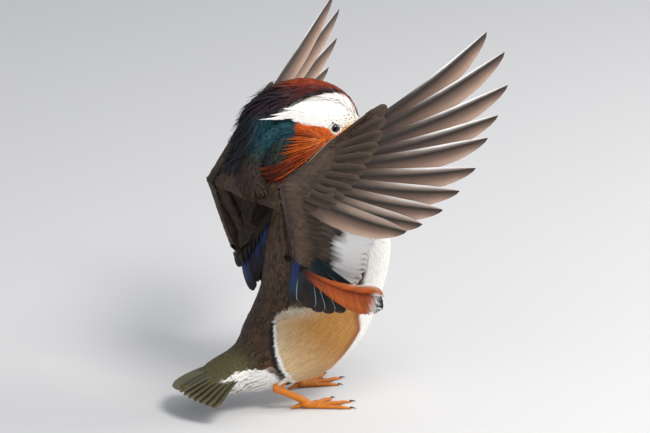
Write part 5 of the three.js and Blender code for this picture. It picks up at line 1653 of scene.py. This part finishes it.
def horn(name, roughness, scale, detail, dark, light):
    """Horn whose colour drifts between a dark and a light tone."""
    material, shader, add, join = node_material(name, roughness, 0.5)
    cloud = add("TexNoise", Scale=scale, Detail=detail)
    ramp = add("ValToRGB")
    join(cloud, "Fac", ramp, "Fac")
    for stop, code in zip(ramp.color_ramp.elements, (dark, light)):
        stop.color = (*linear(code), 1)
    join(ramp, "Color", shader, "Base Color")
    return material, shader, add, join


horn_finish, horn_shader, horn_add, horn_join = horn("bill horn", 0.28, 160.0, 4.0, "8e1d16", "d0402c")
horn_grain = horn_add("TexNoise", Scale=900.0, Detail=3.0)
raised(horn_add, horn_join, horn_shader, (horn_grain, "Fac"), 0.12, 0.0004)


def bill_half(upper):
    """Rings along one half of the bill, each an arch closed by a flat gape."""
    rings = []
    for share in np.linspace(0, 6, 44):
        ahead, ridge, edge, width = read_rows(BILL_ROWS, share)
        turn = np.linspace(0, math.pi, RING_SIDE)
        if upper:
            nostril = ((turn[None] - np.array([[0.75], [2.39]])) / 0.16) ** 2
            dent = np.exp(-((ahead - 10) / 2.2) ** 2 - nostril).sum(0)
            across = width * np.cos(turn) * (1 - 0.13 * dent)
            rise = edge + (ridge - edge) * np.sin(turn) ** 0.8 * (1 - 0.04 * dent)
        else:
            rise = edge - 0.3 - (3.4 - 0.32 * share) * np.sin(turn) ** 0.8
            across = 0.86 * width * np.cos(turn)
        arch = np.stack([np.full(RING_SIDE, BILL_START + ahead), across, rise], -1)
        gape = arch[1:-1].copy()[::-1]
        gape[:, 2] = rise[0]
        rings.append(np.concatenate([arch, gape]))
    rings = np.array(rings)
    return on_head(rings[..., 0], rings[..., 1], rings[..., 2])


for upper, name in ((True, "bill_upper"), (False, "bill_lower")):
    dress(mesh_piece(name + "_horn", *tube(bill_half(upper)), horn_finish), "bill", name)

nail_finish = horn("pale nail", 0.3, 400.0, 3.0, "c9a68c", "ead6c2")[0]
NAIL_START, NAIL_LENGTH = BILL_START + 26.4, 4.6
NAIL_SIDES = 24
nail_rings = []
for share in np.linspace(0, 1, 12):
    turn = np.linspace(0, 2 * math.pi, NAIL_SIDES, endpoint=False)
    size = math.sin(math.pi * (0.08 + 0.84 * share)) ** 0.6
    mid = -9.2 - 2.6 * share ** 1.5
    ahead = np.full(NAIL_SIDES, NAIL_START + NAIL_LENGTH * share)
    nail_rings.append(on_head(ahead, 2.7 * size * np.cos(turn), mid + 1.6 * size * np.sin(turn)))
dress(mesh_piece("bill_nail", *tube(np.array(nail_rings)), nail_finish), "bill")


# The legs and feet: bare shanks in small plates, three long toes each joined by a thin web, and a
# short toe behind. The skin is orange, darker between the toes, and the claws are dark horn.
TOE_LENGTHS = (40, 50, 47)
TOE_TURNS = (-20, 6, 31)
TOE_JOINTS = ((0.4, 0.75), (0.3, 0.58, 0.84), (0.28, 0.52, 0.78))
THIGH_REACH, THIGH_RADII = (0.12, 0.5, 1.0, 1.3), (4.2, 8.5, 13.5, 17)
scute_finish, scute_shader, scute_add, scute_join = node_material("leg skin", 0.42, 0.4)
scute_colour = scute_add("Attribute", attribute_name="paint")
scute_edge = scute_add("TexVoronoi", Scale=620.0, feature="DISTANCE_TO_EDGE")
scute_line = ranged(scute_add, scute_join, (scute_edge, "Distance"), 0.55, 1.0, 0.0, 0.12)
scute_tone = times(scute_add, scute_join, (scute_colour, "Color"), (scute_line, 0))
scute_join(scute_tone, "Result", scute_shader, "Base Color")
raised(scute_add, scute_join, scute_shader, (scute_line, 0), 0.6, 0.0004)
LEG_ORANGE, LEG_DARK = linear("d87c18"), linear("6e3a14")
claw_finish = horn("claw horn", 0.35, 700.0, 2.0, "1d140e", "4a3626")[0]


def toe_rings(base, way, length, bumps):
    """Rings of one toe lying on the floor, swollen at its joints."""
    across = np.array([-way[1], way[0], 0])
    rings = []
    for share in np.linspace(0, 1, 40):
        wide = np.interp(share, [0, 0.35, 0.75, 0.9, 1], [3.6, 2.7, 2.2, 1.7, 0.9])
        high = np.interp(share, [0, 0.35, 0.75, 0.9, 1], [5.6, 4.0, 3.0, 2.4, 1.2])
        swell = 1 + 0.16 * sum(math.exp(-((share - b) / 0.045) ** 2) for b in bumps)
        turn = np.linspace(0, 2 * math.pi, 20, endpoint=False)
        lift = np.maximum(high * swell * (0.5 + 0.5 * np.sin(turn)), 0.25)
        rings.append(base + way * share * length + across * (wide * swell * np.cos(turn))[:, None]
                     + np.array([0, 0, 1.0]) * lift[:, None])
    return np.array(rings)


def claw_rings(base, way, length):
    """A short curved claw that ends just over the floor."""
    across = np.array([-way[1], way[0], 0])
    rings = []
    for share in np.linspace(0, 1, 12):
        size = 1.15 * (1 - 0.85 * share)
        turn = np.linspace(0, 2 * math.pi, 14, endpoint=False)
        height = 1.5 + 0.5 * math.sin(math.pi * share) - 0.9 * share
        rings.append(base + way * share * length + across * (0.8 * size * np.cos(turn))[:, None]
                     + np.array([0, 0, 1.0]) * (height + size * np.sin(turn))[:, None])
    return np.array(rings)


for side, word in ((1, "right"), (-1, "left")):
    ahead = 0 if side > 0 else LEG_STEP
    joint = np.array([-9 + ahead, side * 29, -BELLY_RISE])
    ankle = joint + [0, 0, 7.0]
    heel = np.array([-38 + ahead, side * 27, 13.0])
    thigh = np.array([-18 + ahead, side * 24, 36.0])
    knots = [ankle + [2, 0, -2.5], weave(ankle, heel, 0.18), weave(ankle, heel, 0.5),
             weave(ankle, heel, 0.85), heel, weave(heel, thigh, 0.2), weave(heel, thigh, 0.6)]
    rings = limb_rings(knots, [3.6, 3.3, 3.0, 3.3, 4.0, 4.2, 5.4], np.array([1.0, 0, 0.3]), 0.92, 1.08)
    shank = mesh_piece("shank_" + word, *tube(rings), scute_finish)
    give_paint(shank.data, LEG_ORANGE)
    dress(shank, "leg_skin", "leg_" + word)

    foot_rings, claws, toes = [], [], []
    for length, turn, bumps in zip(TOE_LENGTHS, TOE_TURNS, TOE_JOINTS):
        angle = math.radians(turn)
        way = np.array([math.cos(angle), side * math.sin(angle), 0])
        foot_rings.append(toe_rings(joint, way, length * 0.93, bumps))
        toes.append((way, length))
        claws.append(claw_rings(joint + way * length * 0.90, way, length * 0.1 + 1.5))
    for (way_a, long_a), (way_b, long_b) in zip(toes[:-1], toes[1:]):
        rings = []
        for share in np.linspace(0, 1, 24):
            way = unit(way_a * (1 - share) + way_b * share)
            reach = (long_a * (1 - share) + long_b * share) * (0.84 - 0.17 * math.sin(math.pi * share))
            fine = np.linspace(0.06, 1, 16)
            sag = 1.9 - 0.9 * math.sin(math.pi * share) + 0.18 * math.sin(share * 24)
            line = joint + way * (fine * reach)[:, None]
            upper_line = line + np.array([0, 0, 1.0]) * (sag + 0.5 * (1 - fine))[:, None]
            lower_line = line[::-1] + np.array([0, 0, 0.35])
            rings.append(np.concatenate([upper_line, lower_line]))
        foot_rings.append(np.array(rings))
    ball = []
    for share in np.linspace(0, 1, 14):
        turn = np.linspace(0, 2 * math.pi, 24, endpoint=False)
        size = 5.3 * math.sin(math.pi * (0.06 + 0.88 * share)) ** 0.7
        ring = [size * np.cos(turn), size * np.sin(turn), np.full(24, 0.3 + 8.6 * share)]
        ball.append(joint + np.stack(ring, -1))
    foot_rings.append(np.array(ball))
    hind = [joint + [-2, 0, 4.4], joint + [-6, -side * 1.5, 3.2], joint + [-11, -side * 2.4, 1.7],
            joint + [-14, -side * 3, 1.3]]
    foot_rings.append(limb_rings(hind, [2.4, 2.0, 1.5, 0.8], np.array([0, 0, 1.0]), 1, 1))
    web_tone = mixed(LEG_ORANGE, LEG_DARK, 0.6)
    foot_tones = [LEG_ORANGE] * 3 + [web_tone] * 2 + [LEG_ORANGE] * 2
    point_counts = [rings.shape[0] * rings.shape[1] + 2 for rings in foot_rings]
    foot = mesh_piece("webbed_foot_" + word, *joined(foot_rings), scute_finish)
    give_paint(foot.data, np.repeat(foot_tones, point_counts, 0))
    dress(foot, "leg_skin", "foot_" + word)
    dress(mesh_piece("claws_" + word, *joined(claws), claw_finish), "leg_skin")

    rng = np.random.default_rng(100 + side)
    thigh_rows = np.array([[*weave(heel, thigh, share), size]
                           for share, size in zip(THIGH_REACH, THIGH_RADII)])

    def thigh_form(u, v, rows=thigh_rows):
        row = read_rows(rows, u)
        return row[..., :3] + row[..., 3:] * np.stack([np.cos(v) * 0.9, np.sin(v), 0.4 * np.cos(v)], -1)

    def thigh_middle(u, v, rows=thigh_rows):
        return read_rows(rows, u)[..., :3]

    u, v = staggered(thigh_form, 1.35, 2.8, 2.6, 2.2, rng)
    fluff = mixed(PAINT["white"], PAINT["buff"], 0.35)
    lay_coat("thigh_coat_" + word, thigh_form, thigh_middle, u, v, 11.0, 1.6,
             lambda a, b, d: (fluff * (0.75 + 0.3 * d)[..., None], fluff * (0.85 + 0.3 * d)[..., None]),
             lambda a, b: np.stack([0.05 + 0.9 * (b / (2 * math.pi) + 0.5), 0.1 + a / 4], -1),
             coat_finish, rng, "body_plumage", sign=-1, profile=SILKY_TIP, lift=(-1, 0.1, 0.5, 0.8, 0.8))


# The floor, the soft lights of a studio and the camera. The camera stands behind the right
# wing and a little above it, far off, so that near and far parts keep their true sizes.
VIEW_TURN = math.radians(27)
VIEW_RISE = math.radians(17)
PIXELS_PER_MM = 1.05
FRAME_WIDTH = 650 / PIXELS_PER_MM
CAMERA_DISTANCE = 6000
FRAME_MIDDLE = (23.8, 163.3)

image_right = np.array([math.cos(VIEW_TURN), math.sin(VIEW_TURN), 0])
image_up = np.array([
    math.sin(VIEW_TURN) * math.sin(VIEW_RISE),
    -math.cos(VIEW_TURN) * math.sin(VIEW_RISE),
    math.cos(VIEW_RISE),
])
to_camera = np.cross(image_right, image_up) * -1
target = image_right * FRAME_MIDDLE[0] + image_up * FRAME_MIDDLE[1]

camera_data = bpy.data.cameras.new("camera")
camera_data.sensor_width = 36
camera_data.lens = 36 * CAMERA_DISTANCE / FRAME_WIDTH
camera_data.clip_end = 50
camera = bpy.data.objects.new("camera", camera_data)
camera.location = placed(target + to_camera * CAMERA_DISTANCE)
camera.rotation_mode = "QUATERNION"
looking = Vector(placed(target) - placed(target + to_camera))
camera.rotation_quaternion = looking.to_track_quat("-Z", "Y")
bpy.context.scene.collection.objects.link(camera)
bpy.context.scene.camera = camera

floor_finish, floor_shader, floor_add, floor_join = node_material("pale floor", 0.85, 0.2)
grain = floor_add("TexNoise", Scale=6.0, Detail=4.0)
tone = ranged(floor_add, floor_join, (grain, "Fac"), 0.56, 0.60)
floor_join(tone, 0, floor_shader, "Base Color")
FLOOR_HALF = 9000
sheet = np.array([[-1, -1], [1, -1], [1, 1], [-1, 1]]) * FLOOR_HALF
floor_points = np.concatenate([sheet, np.full((4, 1), -BELLY_RISE - 0.05)], 1)
floor = mesh_piece("floor", floor_points, [np.array([[0, 3, 2, 1]])], floor_finish, smooth=False)

world = bpy.data.worlds.new("studio")
world.use_nodes = True
world.node_tree.nodes["Background"].inputs["Color"].default_value = (0.86, 0.9, 1.0, 1)
world.node_tree.nodes["Background"].inputs["Strength"].default_value = 0.55
bpy.context.scene.world = world
bpy.context.scene.view_settings.view_transform = "Standard"


def soft_light(name, where, size, power, colour=(1, 1, 1)):
    """A square lamp that looks at the bird's middle."""
    data = bpy.data.lights.new(name, "AREA")
    data.size = size
    data.energy = power
    data.color = colour
    lamp = bpy.data.objects.new(name, data)
    lamp.location = placed(np.array(where))
    aim = Vector(placed(np.array([0, 0, 150])) - placed(np.array(where)))
    lamp.rotation_mode = "QUATERNION"
    lamp.rotation_quaternion = aim.to_track_quat("-Z", "Y")
    bpy.context.scene.collection.objects.link(lamp)


soft_light("key", (300, 1500, 2100), 0.9, 56, (1, 0.97, 0.92))
soft_light("fill", (-1900, 900, 900), 1.8, 9, (0.9, 0.95, 1))
soft_light("front", (2000, 300, 1100), 1.3, 34, (1, 0.97, 0.93))
